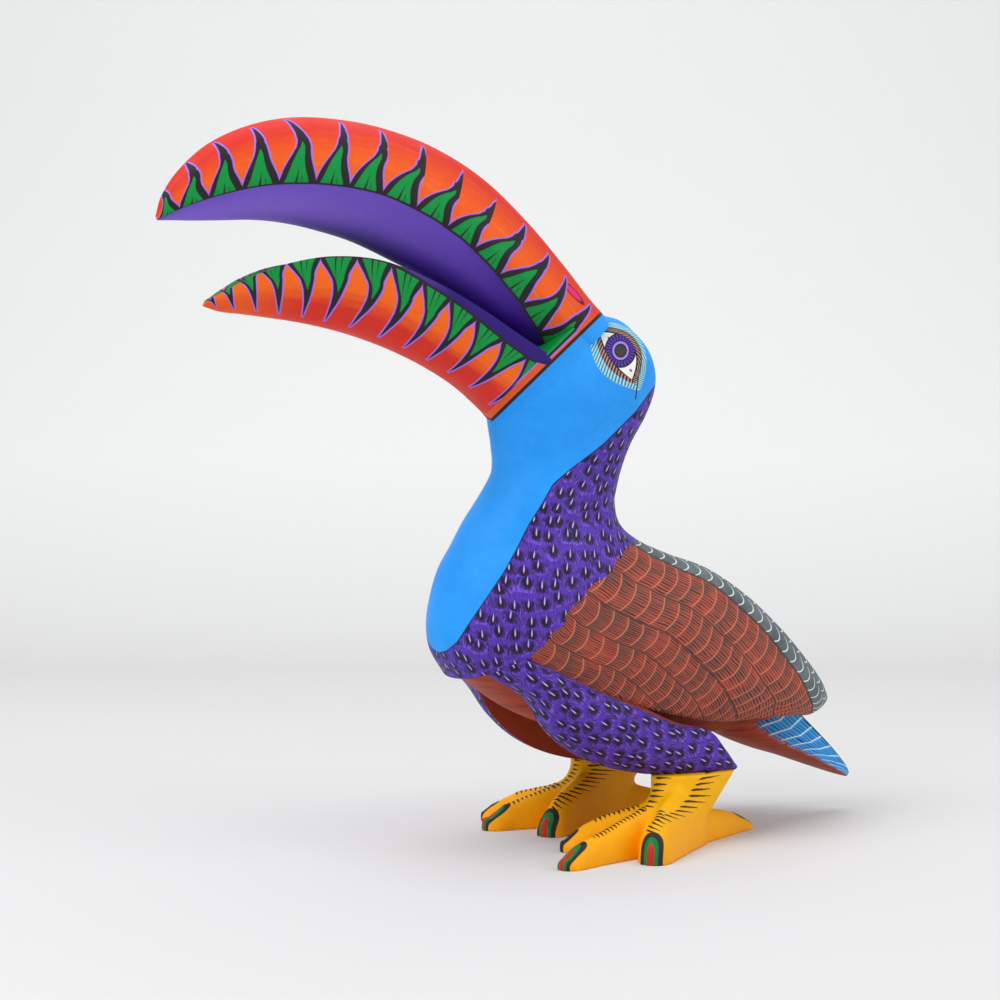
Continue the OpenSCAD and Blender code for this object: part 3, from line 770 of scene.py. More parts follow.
def mat_lower():
    m = new_mat("paint_lower_beak")
    k0, v, bd = attr("k"), attr("v"), attr("bd")
    lam = fcurve(k0, [(-1, 1.1), (0, 1.15), (1, 1.15), (2, 1.05), (3, .8), (4, .38), (5, .22), (6, .27), (7, .24), (8, .2), (9, .06), (10, .08), (11, .3), (12, .3)], -1, 12, 1.4)
    dn = vmax(0.97 - v, 0.0)
    k = k0 - lam * power(dn * 1.2, 1.5) - 0.0
    i = floor(k)
    x = k - i
    # fingers point up at whole numbers, dark leaves hang between them
    g = dn / 0.80
    amp = fcurve(i + 0.5, [(-0.5, .1), (0.5, .12), (1.5, .14), (2.5, .14), (3.5, .16), (4.5, .26), (5.5, .2), (6.5, .15), (7.5, .11), (8.5, .04), (9.5, .02), (10.5, .06)], -1, 11, .4)
    bulge = fcurve(g, [(0, 0), (.11, .25), (.22, .55), (.41, 1), (.63, .75), (.77, .4), (1, 0)], 0, 1, 1) * amp
    c = 0.5 + bulge
    w = fcurve(g, [(0, .50), (.04, .47), (.11, .395), (.22, .28), (.41, .17), (.63, .10), (.8, .05), (1, .0)], 0, 1, 1)
    w = vmax(w, 0.0) - step(g, 1.0, 0.02)
    dx = x - c
    e = w - absf(dx)
    lav = step(e, -0.055, 0.025)
    body = step(e, 0.0, 0.025)
    gw = fcurve(g, [(0, .35), (.03, .315), (.11, .25), (.22, .17), (.36, .08), (.5, 0)], 0, 1, 1) - step(g, 0.495, 0.02)
    grn = step(gw - absf(dx), 0.0, 0.03)
    slit = step(0.026 * (1.0 - g * 3.0) - absf(dx + 0.06 + g * 0.1), 0.0, 0.02) * (1.0 - step(g, 0.3, 0.05))
    slit2 = step(0.018 * (1.0 - g * 4.0) - absf(dx - 0.12 + g * 0.3), 0.0, 0.02) * (1.0 - step(g, 0.2, 0.05))
    streak = noise(vec(k0 * 0.35, v * 8.0, 4.0), 2.2, 4.0, 0.6)
    base = mix((226, 50, 32), (255, 110, 24), ramp(v + (streak - 0.5) * 0.22, 0.42, 0.62))
    base = mix(base, (248, 104, 28), (1.0 - step(k0, 2.0, 3.0)) * 0.7)
    col = mix(base, LAV, lav)
    col = mix(col, BLACK, body)
    col = mix(col, GREEN, grn)
    col = mix(col, BLACK, vmax(slit, slit2))
    tip = 1.0 - step(k0, 5.4, 0.8)
    col = mix(col, BLACK, step(v, 0.985, 0.012) * (1.0 - step(v, 1.03, 0.02) * tip))
    # painted shade: the violet inside of the lower beak darkens towards the mouth corner
    vio = mix((112, 84, 184), (46, 20, 120), ramp(k0, 3.5, 7.0))
    col = mix(col, vio, step(v, 1.015, 0.012) * (1.0 - tip))
    col = mix(col, LAV, step(bd, -10.0, 1.0) * (1.0 - step(v, 1.0, 0.02)) * step(v, 0.62, 0.2))
    col = mix(col, (236, 92, 36), step(bd, -8.4, 1.0) * (1.0 - step(v, 1.0, 0.02)))
    col = mix(col, BLACK, step(bd, -1.9, 0.9))
    col = mix(col, BLUE, step(bd, 1.5, 0.9))
    return finish_mat(m, col)


def feathers(py, pz):
    """Purple plumage: dark tufts with a pale shaft, combed along the flow of the body."""
    def cell_field(rot_bias):
        n = S.tree.nodes.new("ShaderNodeTexVoronoi")
        n.voronoi_dimensions = "2D"
        n.feature = "F1"
        n.inputs["Scale"].default_value = 1.0 / 7.9
        n.inputs["Randomness"].default_value = 0.62
        S.feed(n.inputs["Vector"], vec(py, pz))
        return n
    n = cell_field(0)
    sep = S.tree.nodes.new("ShaderNodeSeparateXYZ")
    S.tree.links.new(n.outputs["Position"], sep.inputs[0])
    cy, cz = S(sep.outputs[0]), S(sep.outputs[1])
    hsh = S.tree.nodes.new("ShaderNodeSeparateColor")
    S.tree.links.new(n.outputs["Color"], hsh.inputs[0])
    r1, r2 = S(hsh.outputs[0]), S(hsh.outputs[1])
    ang = fcurve(cz, [(30, 68), (45, 68), (60, 62), (82, 50), (92, 36), (100, 20), (118, -3), (141, -10), (160, -17), (187, -30), (222, -35), (250, -35)], 30, 250, 70)
    a = (ang + (r1 - 0.5) * 14.0) * (math.pi / 180)
    sa, ca = sin(a), cos(a)
    dy, dz = py - cy, pz - cz
    t = dy * sa - dz * ca               # along the flow, positive towards the feather's end
    q = dy * ca + dz * sa
    wob = noise(vec(q * 1.0, t * 0.28 + r2 * 40.0, 3.0), 1.6, 2.0, 0.6)
    # hair lines fanning out from the tuft
    fan = q / (3.2 + vmax(t + 1.0, 0.0) * 0.42)
    hair = noise(vec(fan * 7.6, t * 0.16, r2 * 30.0), 1.25, 0.0, 0.5)
    hairm = step(hair, 0.50, 0.10)
    fine = noise(vec(q * 1.7, t * 0.22, r1 * 9.0), 1.4, 0.0, 0.5)
    blot = sqrt((q * q) / 6.0 + (t - 0.9) * (t - 0.9) / 9.0)
    dark = 1.0 - step(blot + (hair - 0.5) * 2.6, 0.86, 0.30)
    under = step(t, -1.6, 2.0) * (1.0 - step(t, 4.4, 2.2))
    purple = mix((92, 56, 186), (128, 86, 228), ramp(t + (fine - 0.5) * 3.0, -3.4, 3.4))
    col = mix(purple, (52, 32, 96), step(fine, 0.56, 0.12) * 0.55)
    col = mix(col, (36, 24, 58), hairm * under * 0.80)
    col = mix(col, (30, 20, 40), dark * 0.96)
    sh = (t + 0.5) / 2.3
    shaft = absf(q) - 0.36 * (1.0 - sh * sh) * (1.0 + sh * 0.5)
    col = mix(col, (190, 174, 238), (1.0 - step(shaft, 0.0, 0.2)) * (1.0 - step(absf(sh), 0.97, 0.1)))
    return col


def mat_head():
    m = new_mat("paint_head")
    bd, bb, py, pz, ex, ey = attr("bd"), attr("bb"), attr("py"), attr("pz"), attr("ex"), attr("ey")
    col = feathers(py, pz)
    tone = noise(vec(py, pz, 0.0), 0.05, 2.0, 0.5)
    blue = mix((42, 162, 255), (32, 154, 250), ramp(tone, 0.3, 0.7))
    col = mix(col, (40, 30, 90), step(bb, -1.2, 0.8))
    col = mix(col, blue, step(bb, 0.0, 0.7))
    # ---- eye, in its own coordinates centred on the iris; u runs down the long axis, w towards the crown
    mx, my = ex + 4.6, ey - 5.6
    u = mx * 0.564 + my * 0.826
    w = mx * 0.826 - my * 0.564

    def almond(L, up, down, soft):
        a = vmin(absf(u) / L, 1.0)
        top = (1.0 - power(a, 2.2)) * up
        low = (1.0 - a * a) * down
        return (1.0 - step(w - top, 0.0, soft)) * (1.0 - step(-w - low, 0.0, soft)) * (1.0 - step(absf(u), L, soft))

    lidtop = (1.0 - power(vmin(absf(u) / 29.0, 1.0), 2.2)) * 19.3
    lidlow = (1.0 - power(vmin(absf(u) / 29.0, 1.0), 2.0)) * 5.8
    o1 = vmax(w - lidtop, 0.0)
    o2 = vmax(-w - lidlow, 0.0)
    lash = sin((u - o1 * 1.7 - o2 * 0.7) * (2 * math.pi / 3.7))
    fringe = almond(42.5, 29.0, 21.0, 1.2)
    col = mix(col, (170, 236, 250), fringe * 0.9)
    col = mix(col, (40, 64, 92), fringe * step(lash, 0.25, 0.9) * 0.85)
    ring = almond(34.5, 24.5, 13.0, 1.0)
    col = mix(col, (196, 148, 128), ring)
    col = mix(col, (44, 30, 32), ring * step(lash, -0.1, 0.9))
    col = mix(col, (40, 28, 30), almond(35.3, 25.3, 13.4, 0.8) * (1.0 - almond(34.0, 23.9, 12.6, 0.8)) * step(w, 4.0, 3.0) * 0.8)
    col = mix(col, (38, 26, 28), almond(30.3, 20.6, 6.9, 0.7))
    col = mix(col, (250, 250, 246), almond(28.6, 19.0, 5.3, 0.7))
    tk = absf(u - 1.0) - 19.5
    tick = 1.0 - step(sqrt(tk * tk * 0.55 + (w - 4.2) * (w - 4.2) * 1.3), 1.25, 0.7)
    col = mix(col, (84, 70, 72), tick * 0.9)
    inlid = almond(29.6, 20.0, 6.3, 0.7)
    r = sqrt(ex * ex / (15.9 * 15.9) + ey * ey / (17.8 * 17.8))
    ang = atan2(ey, ex)
    iris = (1.0 - step(r, 1.0, 0.05)) * inlid
    col = mix(col, (28, 18, 40), iris)
    ri = step(sin(ang * 27.0), -0.15, 0.9)
    col = mix(col, (92, 58, 186), iris * (1.0 - step(r, 0.92, 0.07)) * ri)
    r2 = sqrt((ex - 0.2) * (ex - 0.2) / 68.9 + (ey - 0.4) * (ey - 0.4) / 86.5)
    col = mix(col, (26, 18, 34), 1.0 - step(r2, 1.12, 0.1))
    col = mix(col, (170, 134, 242), 1.0 - step(r2, 1.0, 0.08))
    col = mix(col, (26, 24, 26), 1.0 - step(r2, 0.76, 0.08))
    col = mix(col, (58, 60, 50), 1.0 - step(r2, 0.62, 0.2))
    # thin line running down from the rear corner
    tl = absf(ex - 17.3 + (ey - 32.0) * 0.13) - 0.6
    col = mix(col, (26, 38, 80), (1.0 - step(tl, 0.0, 0.5)) * step(ey, 26.0, 1.0) * (1.0 - step(ey, 49.0, 2.0)))
    # corner of the mouth, in front of the black ring
    col = mix(col, BLACK, 1.0 - step(bd, 1.5, 0.9))
    col = mix(col, (246, 96, 32), 1.0 - step(bd, -1.9, 0.9))
    col = mix(col, LAV, 1.0 - step(bd, -3.6, 0.8))
    col = mix(col, BLACK, 1.0 - step(bd, -5.0, 0.8))
    col = mix(col, GREEN, 1.0 - step(bd, -7.6, 0.8))
    return finish_mat(m, col)


def mat_torso():
    m = new_mat("paint_body")
    bb, py, pz, mk = attr("bb"), attr("py"), attr("pz"), attr("mk")
    col = feathers(py, pz)
    tone = noise(vec(py, pz, 0.0), 0.05, 2.0, 0.5)
    blue = mix((42, 162, 255), (32, 154, 250), ramp(tone, 0.3, 0.7))
    col = mix(col, (40, 30, 90), step(bb, -1.2, 0.8))
    col = mix(col, blue, step(bb, 0.0, 0.7))
    wood = noise(vec(py * 0.4, pz * 2.0, 0.0), 0.12, 3.0, 0.6)
    red = mix((176, 74, 44), (140, 48, 22), ramp(wood, 0.3, 0.7))
    wing, arc = wing_paint()
    col = mix(wing, col, vmax(fringe_mask(), step(bb, -2.0, 1.0)))
    col = mix(col, red, mk)
    return finish_mat(m, col)


def mat_thigh():
    m = new_mat("paint_thigh")
    py, pz, mk = attr("py"), attr("pz"), attr("mk")
    col = feathers(py, pz)
    wood = noise(vec(py * 0.4, pz * 2.0, 0.0), 0.12, 3.0, 0.6)
    red = mix((170, 72, 42), (134, 46, 22), ramp(wood, 0.3, 0.7))
    col = mix(col, red, step(mk, 0.5, 0.1))
    return finish_mat(m, col)


def wing_paint():
    """Rows of overlapping brown feathers beside the grey back. Returns colour and the pale arcs."""
    r, s = attr("r"), attr("s")
    r0 = fcurve(s, [(-30, 30), (0, 31), (26, 35), (45, 38.7), (66, 43.5), (85, 45.3), (104, 48.5), (123, 51), (140, 55), (180, 56)], -30, 180, 60)
    rho = r - r0
    rc = fcurve(rho, [(0, 0), (28, 1), (51, 2), (68, 3), (85, 4), (102, 5), (119, 6)], 0, 119, 6, linear=True)
    row = floor(rc)
    x = rc - row
    off = hash1(row, 3.0) * 8.7
    jit = (noise(vec(s * 0.05, row * 7.3), 1.0, 1.0) - 0.5) * 3.0
    shear = fcurve(rho, [(0, 0), (28, 2.7), (51, 8.7), (68, 15.2), (85, 22.7), (102, 31), (119, 39)], 0, 119, 40, linear=True)
    bow = 11.0 * x * (1.0 - x)
    q = (s - shear - bow + off + jit + 60.0) / 8.8
    arc_i = floor(q)
    y = q - arc_i
    arc = 1.0 - step(vmin(y, 1.0 - y), 0.042, 0.035)
    arc = arc * step(x, 0.05, 0.06) * (1.0 - step(x, 0.97, 0.05))
    strk = noise(vec(rc * 5.0, s * 0.07, arc_i * 3.7), 1.0, 1.0, 0.5)
    strk2 = noise(vec(rc * 14.0, s * 0.10, arc_i * 1.9), 1.0, 1.0, 0.5)
    sline = sin(rc * 78.0 + strk * 7.0)
    shade = noise(vec(s * 0.06, r * 0.05, 2.0), 1.0, 2.0)
    dk = step(sline, 0.0, 1.1) * ramp(strk2, 0.28, 0.6, 0.35, 1.0)
    fade = ramp(y, 0.0, 0.3, 0.7, 1.0) * ramp(y, 0.72, 1.0, 1.0, 0.75)
    base = mix((200, 86, 64), (164, 80, 66), ramp(shade, 0.35, 0.7))
    base = mix(base, (112, 82, 70), ramp(y, 0.8, 0.1) * ramp(shade, 0.25, 0.6) * 0.85)
    base = mix(base, (54, 44, 42), dk * fade)
    base = mix(base, (70, 50, 46), (1.0 - step(x, 0.045, 0.05)) * 0.8)
    base = mix(base, (212, 126, 92), arc * 0.85)
    # the back between the wings
    rg = (r0 - r) / 18.0
    rowg = floor(rg)
    xg = rg - rowg
    ys = fract((s - 15.0 * xg * (1.0 - xg) + 3.0 + 3.9 * rowg) / 7.9)
    arcs = (1.0 - step(vmin(ys, 1.0 - ys), 0.055, 0.04)) * step(xg, 0.03, 0.04)
    g = mix((128, 138, 146), (96, 108, 116), ramp(shade, 0.35, 0.7))
    g = mix(g, (44, 50, 56), step(sin(rg * 66.0 + strk * 7.0), 0.0, 0.9) * ramp(strk2, 0.25, 0.55, 0.55, 1.0))
    g = mix(g, (216, 234, 230), arcs)
    col = mix(base, g, step(rg, 0.0, 0.012))
    # painted shade: a dark line along the wing's top edge where it meets the grey back, standing in for the shadow of a
    # groove
    col = mix(col, (56, 44, 44), line_mask(rho, 0.7, 0.6) * 0.75)
    return col, arc


def fringe_mask():
    """1 where the purple plumage lies over the wing."""
    fr, py, pz = attr("fr"), attr("py"), attr("pz")
    jag = noise(vec((py * 0.62 - pz * 0.78) * 0.95, (py * 0.78 + pz * 0.62) * 0.10, 0.0), 0.9, 1.0, 0.6)
    big = noise(vec(py, pz, 7.0), 0.16, 1.0)
    lim = (jag - 0.5) * 13.0 + (big - 0.5) * 9.0
    return step(lim - fr, 0.0, 0.9)


def mat_wing():
    m = new_mat("paint_wing")
    col, arc = wing_paint()
    fe = feathers(attr("py"), attr("pz"))
    col = mix(col, fe, fringe_mask())
    # inner, glued faces
    col = mix(col, (150, 58, 36), step(-attr("l"), 2.0, 1.0))
    return finish_mat(m, col, bump_extra=arc * 0.5)


def mat_tail():
    m = new_mat("paint_tail")
    a, s, tb = attr("a"), attr("s"), attr("tb")
    bowx = 1.0 - absf(a * 2.0 - 1.0)
    q = (s - 3.5 * bowx + 4.0) / 9.0
    y = fract(q)
    arc = 1.0 - step(vmin(y, 1.0 - y), 0.06, 0.05)
    strk = noise(vec(a * 7.0, s * 0.05, 0.0), 1.0, 1.0)
    ln = sin(a * 64.0 + strk * 7.0)
    col = mix((20, 154, 240), (56, 176, 248), ramp(strk, 0.3, 0.7))
    col = mix(col, (18, 50, 92), step(ln, 0.35, 0.8) * ramp(y, 0.05, 0.35, 0.3, 0.9))
    col = mix(col, (214, 236, 246), arc)
    col = mix(col, (24, 34, 50), step(a, 0.965, 0.03))
    serr = noise(vec(s * 1.1, a * 0.6), 1.0, 1.0)
    red = mix((172, 72, 44), (136, 46, 22), ramp(noise(vec(s, a), 0.3, 2.0), 0.3, 0.7))
    col = mix(col, red, step((serr - 0.5) * 0.9 + 0.06 - a, 0.0, 0.05))
    return finish_mat(m, col)


def mat_foot():
    m = new_mat("paint_foot")
    z = attr("z")
    # painted shade and light: the yellow is deeper orange low down and brighter higher up, as the light falls on the
    # tops
    col = mix((255, 170, 0), (255, 188, 2), ramp(z, 3.0, 26.0))
    ink = (50, 38, 26)
    # short bars across the ridges of the toes
    for j in (1, 3, 4):
        s, q = attr("s%d" % j), attr("q%d" % j)
        w = fract(s / 2.7)
        off = (hash1(floor(s / 2.7) + j * 31.0, 2.0) - 0.5) * 0.9
        th = (1.0 - absf(q - off) / 2.9) * 0.30 + 0.05
        on = step(th - absf(w - 0.5 + q * 0.03), 0.0, 0.12) * (1.0 - step(absf(q - off), 2.7, 0.4))
        col = mix(col, ink, on * attr("m%d" % j) * 0.93)
    # two ladders of tapering strokes down the shank
    for j in (5, 6):
        k, t = attr("k%d" % j), attr("t%d" % j)
        w = k - floor(k + 0.5)
        th = (1.0 - t) * 0.24 * ramp(t, -0.05, 0.12) + 0.03
        h = hash1(floor(k + 0.5) + j * 13.0, 4.0)
        end = 0.78 + h * 0.3
        on = step(th - absf(w), 0.0, 0.09) * step(t, -0.02 + 0.0, 0.06) * (1.0 - step(t, end, 0.08))
        col = mix(col, ink, on * attr("g%d" % j) * 0.95)
    # nails: black, with a green band and a red heart
    col = mix(col, (48, 42, 42), 1.0 - step(attr("n1"), 1.0, 0.06))
    col = mix(col, (0, 128, 62), 1.0 - step(attr("n2"), 1.0, 0.08))
    col = mix(col, (190, 50, 34), 1.0 - step(attr("n3"), 1.0, 0.12))
    return finish_mat(m, col)


def mat_wood():
    m = new_mat("bare_wood")
    P = obj_coords()
    n = noise(P, 90.0, 4.0, 0.6)
    col = mix((196, 150, 98), (164, 118, 70), ramp(n, 0.3, 0.7))
    return finish_mat(m, col, rough=0.75)


# ---------------------------------------------------------------- coordinates for the paint

EYE_AT = np.array([886.37, -598.23, 196.27])    # camera place in the bird frame, mm
AZ, EL, FOC = math.radians(60), math.radians(1), 2000.0
VIEW = np.array([-math.sin(AZ) * math.cos(EL), math.cos(AZ) * math.cos(EL), -math.sin(EL)])
RIGHT = np.array([math.cos(AZ), math.sin(AZ), 0.0])
UP = np.cross(RIGHT, VIEW)


def sketch(P):
    """Where points of either side appear when drawn from the front left, on a sheet 1000 units wide."""
    Q = np.array(P, float)
    Q[:, 0] = np.abs(Q[:, 0])
    D = Q - EYE_AT
    w = D @ VIEW
    return np.stack([500 + FOC * (D @ RIGHT) / w, 500 - FOC * (D @ UP) / w], -1)


def seen(P):
    """The same sheet without folding the far side onto the near one."""
    D = np.array(P, float) - EYE_AT
    w = D @ VIEW
    return np.stack([500 + FOC * (D @ RIGHT) / w, 500 - FOC * (D @ UP) / w], -1)


def signed(P2, line):
    """Signed distance of sheet points to an open polyline; positive on its left when walking along it."""
    L = np.array(line, float)
    best = np.full(len(P2), 1e9)
    sg = np.zeros(len(P2))
    for a, b in zip(L[:-1], L[1:]):
        d = b - a
        t = np.clip(((P2 - a) @ d) / (d @ d), 0, 1)
        o = P2 - (a + t[:, None] * d)
        r = np.hypot(o[:, 0], o[:, 1])
        c = d[0] * (P2[:, 1] - a[1]) - d[1] * (P2[:, 0] - a[0])
        new = r < best
        best[new] = r[new]
        sg[new] = np.sign(c[new])
    return best * sg


RING = [(600, 315), (490, 422)]
BIB = [(700, 366), (656, 383), (636.3, 410.6), (616, 431), (603.7, 443.3), (593.5, 451.4), (569, 469.8), (552.7, 484),
       (542.4, 502.4), (528.2, 524.9), (515.9, 549.4), (503.7, 571.8), (487.3, 596.3), (469, 622.9), (456.7, 642.2),
       (446.5, 650.4), (439, 652.6), (420, 653), (400, 653)]
FRINGE = [(526, 668), (532.2, 654.5), (542.4, 645.3), (560.8, 628), (567, 612.7), (577, 604.5), (589.4, 588), (609.8, 573.9),
          (616, 563.7), (626, 549.4), (640, 535)]

# flames of the upper beak: row number of every valley along the painted edge
UP_K = [(-1, 13.0), (0, 11.665), (1, 10.512), (2, 9.538), (3, 8.544), (4, 7.583), (5, 6.759), (6, 6.018), (7, 5.26),
        (8, 4.513), (9, 3.8), (10, 3.047), (11, 2.242), (12, 1.397), (13, 0.254), (14, -0.8)]
UP_A = [(0, .08), (.21, .09), (.9, .17), (1.45, .255), (2.27, .349), (3.19, .404), (4.02, .427), (4.75, .438),
        (5.65, .432), (6.73, .416), (7.96, .393), (9.33, .381), (10.83, .367), (12, .34), (13, .30)]
UP_E = [(-1, .04), (.2, .05), (1, .032), (2, .022), (4, .010), (5, 0.0), (6, -.012), (7, -.045), (8, -.075), (9, -.083),
        (10, -.08), (11, -.055), (12, -.025), (13, -.0125), (14, -.0125)]
LO_K = [(-1, 9.77), (0, 9.0), (1, 8.1), (2, 7.267), (3, 6.347), (4, 5.52), (5, 4.813), (6, 4.16), (7, 3.56), (8, 2.933),
        (9, 2.233), (10, 1.5), (11, .853), (12, .0)]
LO_E = [(0, .89), (.93, .866), (1.33, .84), (2, .838), (2.67, .862), (3.33, .9), (4, .93), (4.33, .955), (5, 1.0), (6.2, 1.0), (7, 1.04), (8, 1.14), (9, 1.26), (10, 1.4)]


def tab(x, T):
    T = np.array(sorted(T), float)
    return np.interp(x, T[:, 0], T[:, 1])


def paint_upper(g):
    u, a, arc = g.attrs["u"], g.attrs["a"], g.attrs["arc"]
    K = np.array(sorted((r, k) for k, r in UP_K), float)
    k = np.interp(u, K[:, 0], K[:, 1])
    n = 2 * 65 - 2
    A = a.reshape(-1, n)[:, :65]
    L = arc.reshape(-1, n)[:, :65]
    ae = tab(u.reshape(-1, n)[:, 0], UP_A)
    le = np.array([np.interp(ae[i], A[i], L[i]) for i in range(len(A))])
    lt = L[:, -1]
    v = (arc.reshape(-1, n) - le[:, None]) / (lt - le)[:, None]
    v = v.reshape(-1)
    e = tab(k, UP_E)
    g.attrs = {"k": k, "v": (v - e) / (1 - e), "bd": -signed(sketch(g.v), RING)}
    return g


def paint_lower(g):
    u, a, arc = g.attrs["u"], g.attrs["a"], g.attrs["arc"]
    K = np.array(sorted((r, k) for k, r in LO_K), float)
    k = np.interp(u, K[:, 0], K[:, 1])
    k = np.where(u > 9.77, -1 - (u - 9.77) / .8, k)
    n = 2 * 57 - 2
    L = arc.reshape(-1, n)
    le = L[:, 32]
    v = (L / np.maximum(le, 1e-6)[:, None]).reshape(-1)
    g.attrs = {"k": k, "v": v / tab(u, LO_E), "bd": -signed(sketch(g.v), RING)}
    return g


def paint_bird(g):
    s = sketch(g.v)
    g.attrs["bd"] = -signed(s, RING)
    g.attrs["bb"] = signed(s, BIB)
    g.attrs["ex"] = s[:, 0] - 620.4
    g.attrs["ey"] = s[:, 1] - 350.2
    g.attrs["fr"] = signed(s, FRINGE)
    return g


# ---------------------------------------------------------------- objects

def add(name, V, F, attrs, mat, node, sharp=38, rings=None):
    me = bpy.data.meshes.new(name)
    V = np.clip(np.asarray(V, float), (-75.95, -1e3, 0.0), (80.86, 1e3, 364.47))
    W = (V + SHIFT) / 1000.0
    me.from_pydata(W.tolist(), [], F)
    for k, a in attrs.items():
        t = me.attributes.new(k, "FLOAT", "POINT")
        t.data.foreach_set("value", np.asarray(a, np.float32))
    bm = bmesh.new()
    bm.from_mesh(me)
    bmesh.ops.recalc_face_normals(bm, faces=bm.faces)
    lim = math.radians(sharp)
    for f in bm.faces:
        f.smooth = True
    for e in bm.edges:
        if len(e.link_faces) == 2 and e.calc_face_angle(0) > lim:
            e.smooth = False
    bm.to_mesh(me)
    bm.free()
    o = bpy.data.objects.new(name, me)
    bpy.context.scene.collection.objects.link(o)
    me.materials.append(mat)
    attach(o, "root")
    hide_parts(node)
    return o


def tidy(g):
    """Returns the skin as it is."""
    return g


MAT = {"upper": mat_upper(), "lower": mat_lower(), "head": mat_head(), "torso": mat_torso(), "thigh": mat_thigh(),
       "wing": mat_wing(), "tail": mat_tail(), "foot": mat_foot(), "wood": mat_wood()}

g = paint_upper(make_upper()[0])
add("upper_beak_carved", g.v, g.f, g.attrs, MAT["upper"], "upper_beak")
g = paint_lower(make_lower()[0])
add("lower_beak_carved", g.v, g.f, g.attrs, MAT["lower"], "lower_beak")
g = paint_bird(make_neck())
add("head_carved", g.v, g.f, g.attrs, MAT["head"], "head_neck")
g = paint_bird(make_torso())
g.attrs["mk"] = (g.attrs["u"] > 5.2).astype(float)
add("body_carved", g.v, g.f, g.attrs, MAT["torso"], "torso")
for side, nm in ((1, "left"), (-1, "right")):
    g = paint_bird(make_wing(side=side))
    add(nm + "_wing_carved", g.v, g.f, g.attrs, MAT["wing"], nm + "_wing")
    g = make_thigh(side=side)
    g.attrs["mk"] = g.attrs["in"]
    add(nm + "_thigh_carved", g.v, g.f, g.attrs, MAT["thigh"], nm + "_thigh")
g = make_tail()
g.attrs["tb"] = g.attrs["a"]
add("tail_carved", g.v, g.f, g.attrs, MAT["tail"], "tail")


def ridge_coords(V, line):
    """Running length along a 3-D line and signed offset across it, for every point."""
    L = np.array(line, float)
    best = np.full(len(V), 1e9)
    s = np.zeros(len(V))
    q = np.zeros(len(V))
    s0 = 0.0
    for a, b in zip(L[:-1], L[1:]):
        d = b - a
        ln = np.linalg.norm(d)
        t = ((V - a) @ d) / (ln * ln)
        tc = np.clip(t, 0, 1)
        o = V - (a + tc[:, None] * d)
        r = np.linalg.norm(o, axis=1)
        new = r < best
        best[new] = r[new]
        s[new] = (s0 + tc * ln)[new]
        h = np.array([d[1], -d[0], 0.0])
        h /= np.linalg.norm(h) + 1e-9
        q[new] = (np.sign(o @ h) * r)[new]
        s0 += ln
    return s, q


def toe_ridge(t, a, b, side):
    """Points on a toe's ridge from distance a to b."""
    c = math.radians(t[0])
    pr = np.array(t[4], float)
    out = []
    for p in np.linspace(a, b, 6):
        out.append([side * 39 + p * math.sin(c), -p * math.cos(c), float(np.interp(p, pr[:, 0], pr[:, 1]))])
    return out


def ladder(V, rungs):
    """Stroke coordinates on the sheet: rung number, place along the rung, and whether the point is on the ladder."""
    R = np.array(rungs, float)
    u = np.linspace(-0.45, len(R) - 0.55, 12 * len(R))
    i = np.clip(np.floor(u).astype(int), 0, len(R) - 2)
    f = (u - i)[:, None]
    C = R[i] * (1 - f) + R[i + 1] * f
    best = np.full(len(V), 1e9)
    k = np.zeros(len(V))
    t = np.zeros(len(V))
    p = seen(V)
    for uu, c in zip(u, C):
        a, d = c[:2], c[2:] - c[:2]
        o = p - a
        tt = (o @ d) / (d @ d)
        dist = np.abs(o[:, 0] * d[1] - o[:, 1] * d[0]) / np.linalg.norm(d) + 100 * np.maximum(0, np.abs(tt - 0.5) - 0.65)
        new = dist < best
        best[new], k[new], t[new] = dist[new], uu, tt[new]
    return k, t, (best < 1.6).astype(float)


# strokes painted on the shanks, start and end of each on the sheet
SIDE_RUNGS = [(707.1, 768.2, 726.5, 765.9), (705.3, 772.9, 725.3, 768.5), (699.4, 779.1, 720.0, 775.3), (695.9, 784.7, 715.6, 782.1), (691.2, 790.0, 713.5, 788.5), (689.1, 795.9, 711.2, 795.9), (684.1, 801.2, 705.3, 802.4), (680.3, 806.5, 702.4, 808.2), (675.9, 810.6, 693.5, 812.4), (670.0, 812.9, 686.2, 817.1), (664.7, 814.1, 678.8, 819.4), (659.7, 816.5, 672.9, 822.4), (655.3, 818.8, 667.6, 825.3), (651.8, 821.8, 664.7, 828.2), (648.2, 825.9, 662.6, 831.8), (646.5, 830.0, 661.2, 834.7)]
FRONT_RUNGS = [(655.9, 772.4, 672.9, 772.9), (655.9, 777.6, 672.9, 778.2), (653.8, 784.7, 670.0, 784.1), (651.8, 790.6, 666.5, 790.6), (650.0, 795.9, 664.1, 796.5), (648.2, 801.2, 658.2, 802.4), (645.3, 805.9, 656.8, 807.6), (639.4, 808.8, 648.2, 811.8)]
FAR_SIDE = [(587.6, 765.9, 608.2, 764.7), (591.2, 769.4, 617.1, 771.2), (588.2, 773.5, 610.6, 774.7), (585.3, 777.1, 608.2, 779.4), (581.8, 780.6, 602.9, 782.9), (578.2, 784.1, 596.5, 787.1), (573.5, 787.6, 591.2, 791.2), (569.4, 790.6, 585.3, 795.3), (564.7, 793.2, 579.4, 798.8), (560.6, 795.9, 573.5, 802.4), (556.8, 799.1, 568.8, 805.9), (553.8, 802.6, 563.5, 809.4), (551.8, 806.5, 559.7, 812.4)]
FAR_FRONT = [(574.7, 755.9, 581.8, 755.9), (574.4, 760.0, 581.2, 760.6), (573.5, 765.0, 580.0, 765.3), (572.9, 768.8, 579.4, 770.6), (570.6, 772.4, 576.5, 774.7), (568.5, 775.3, 574.4, 778.2), (564.7, 779.7, 571.5, 781.8), (561.8, 782.1, 567.1, 784.7), (557.6, 783.5, 561.8, 787.1), (552.9, 784.7, 557.1, 789.4)]

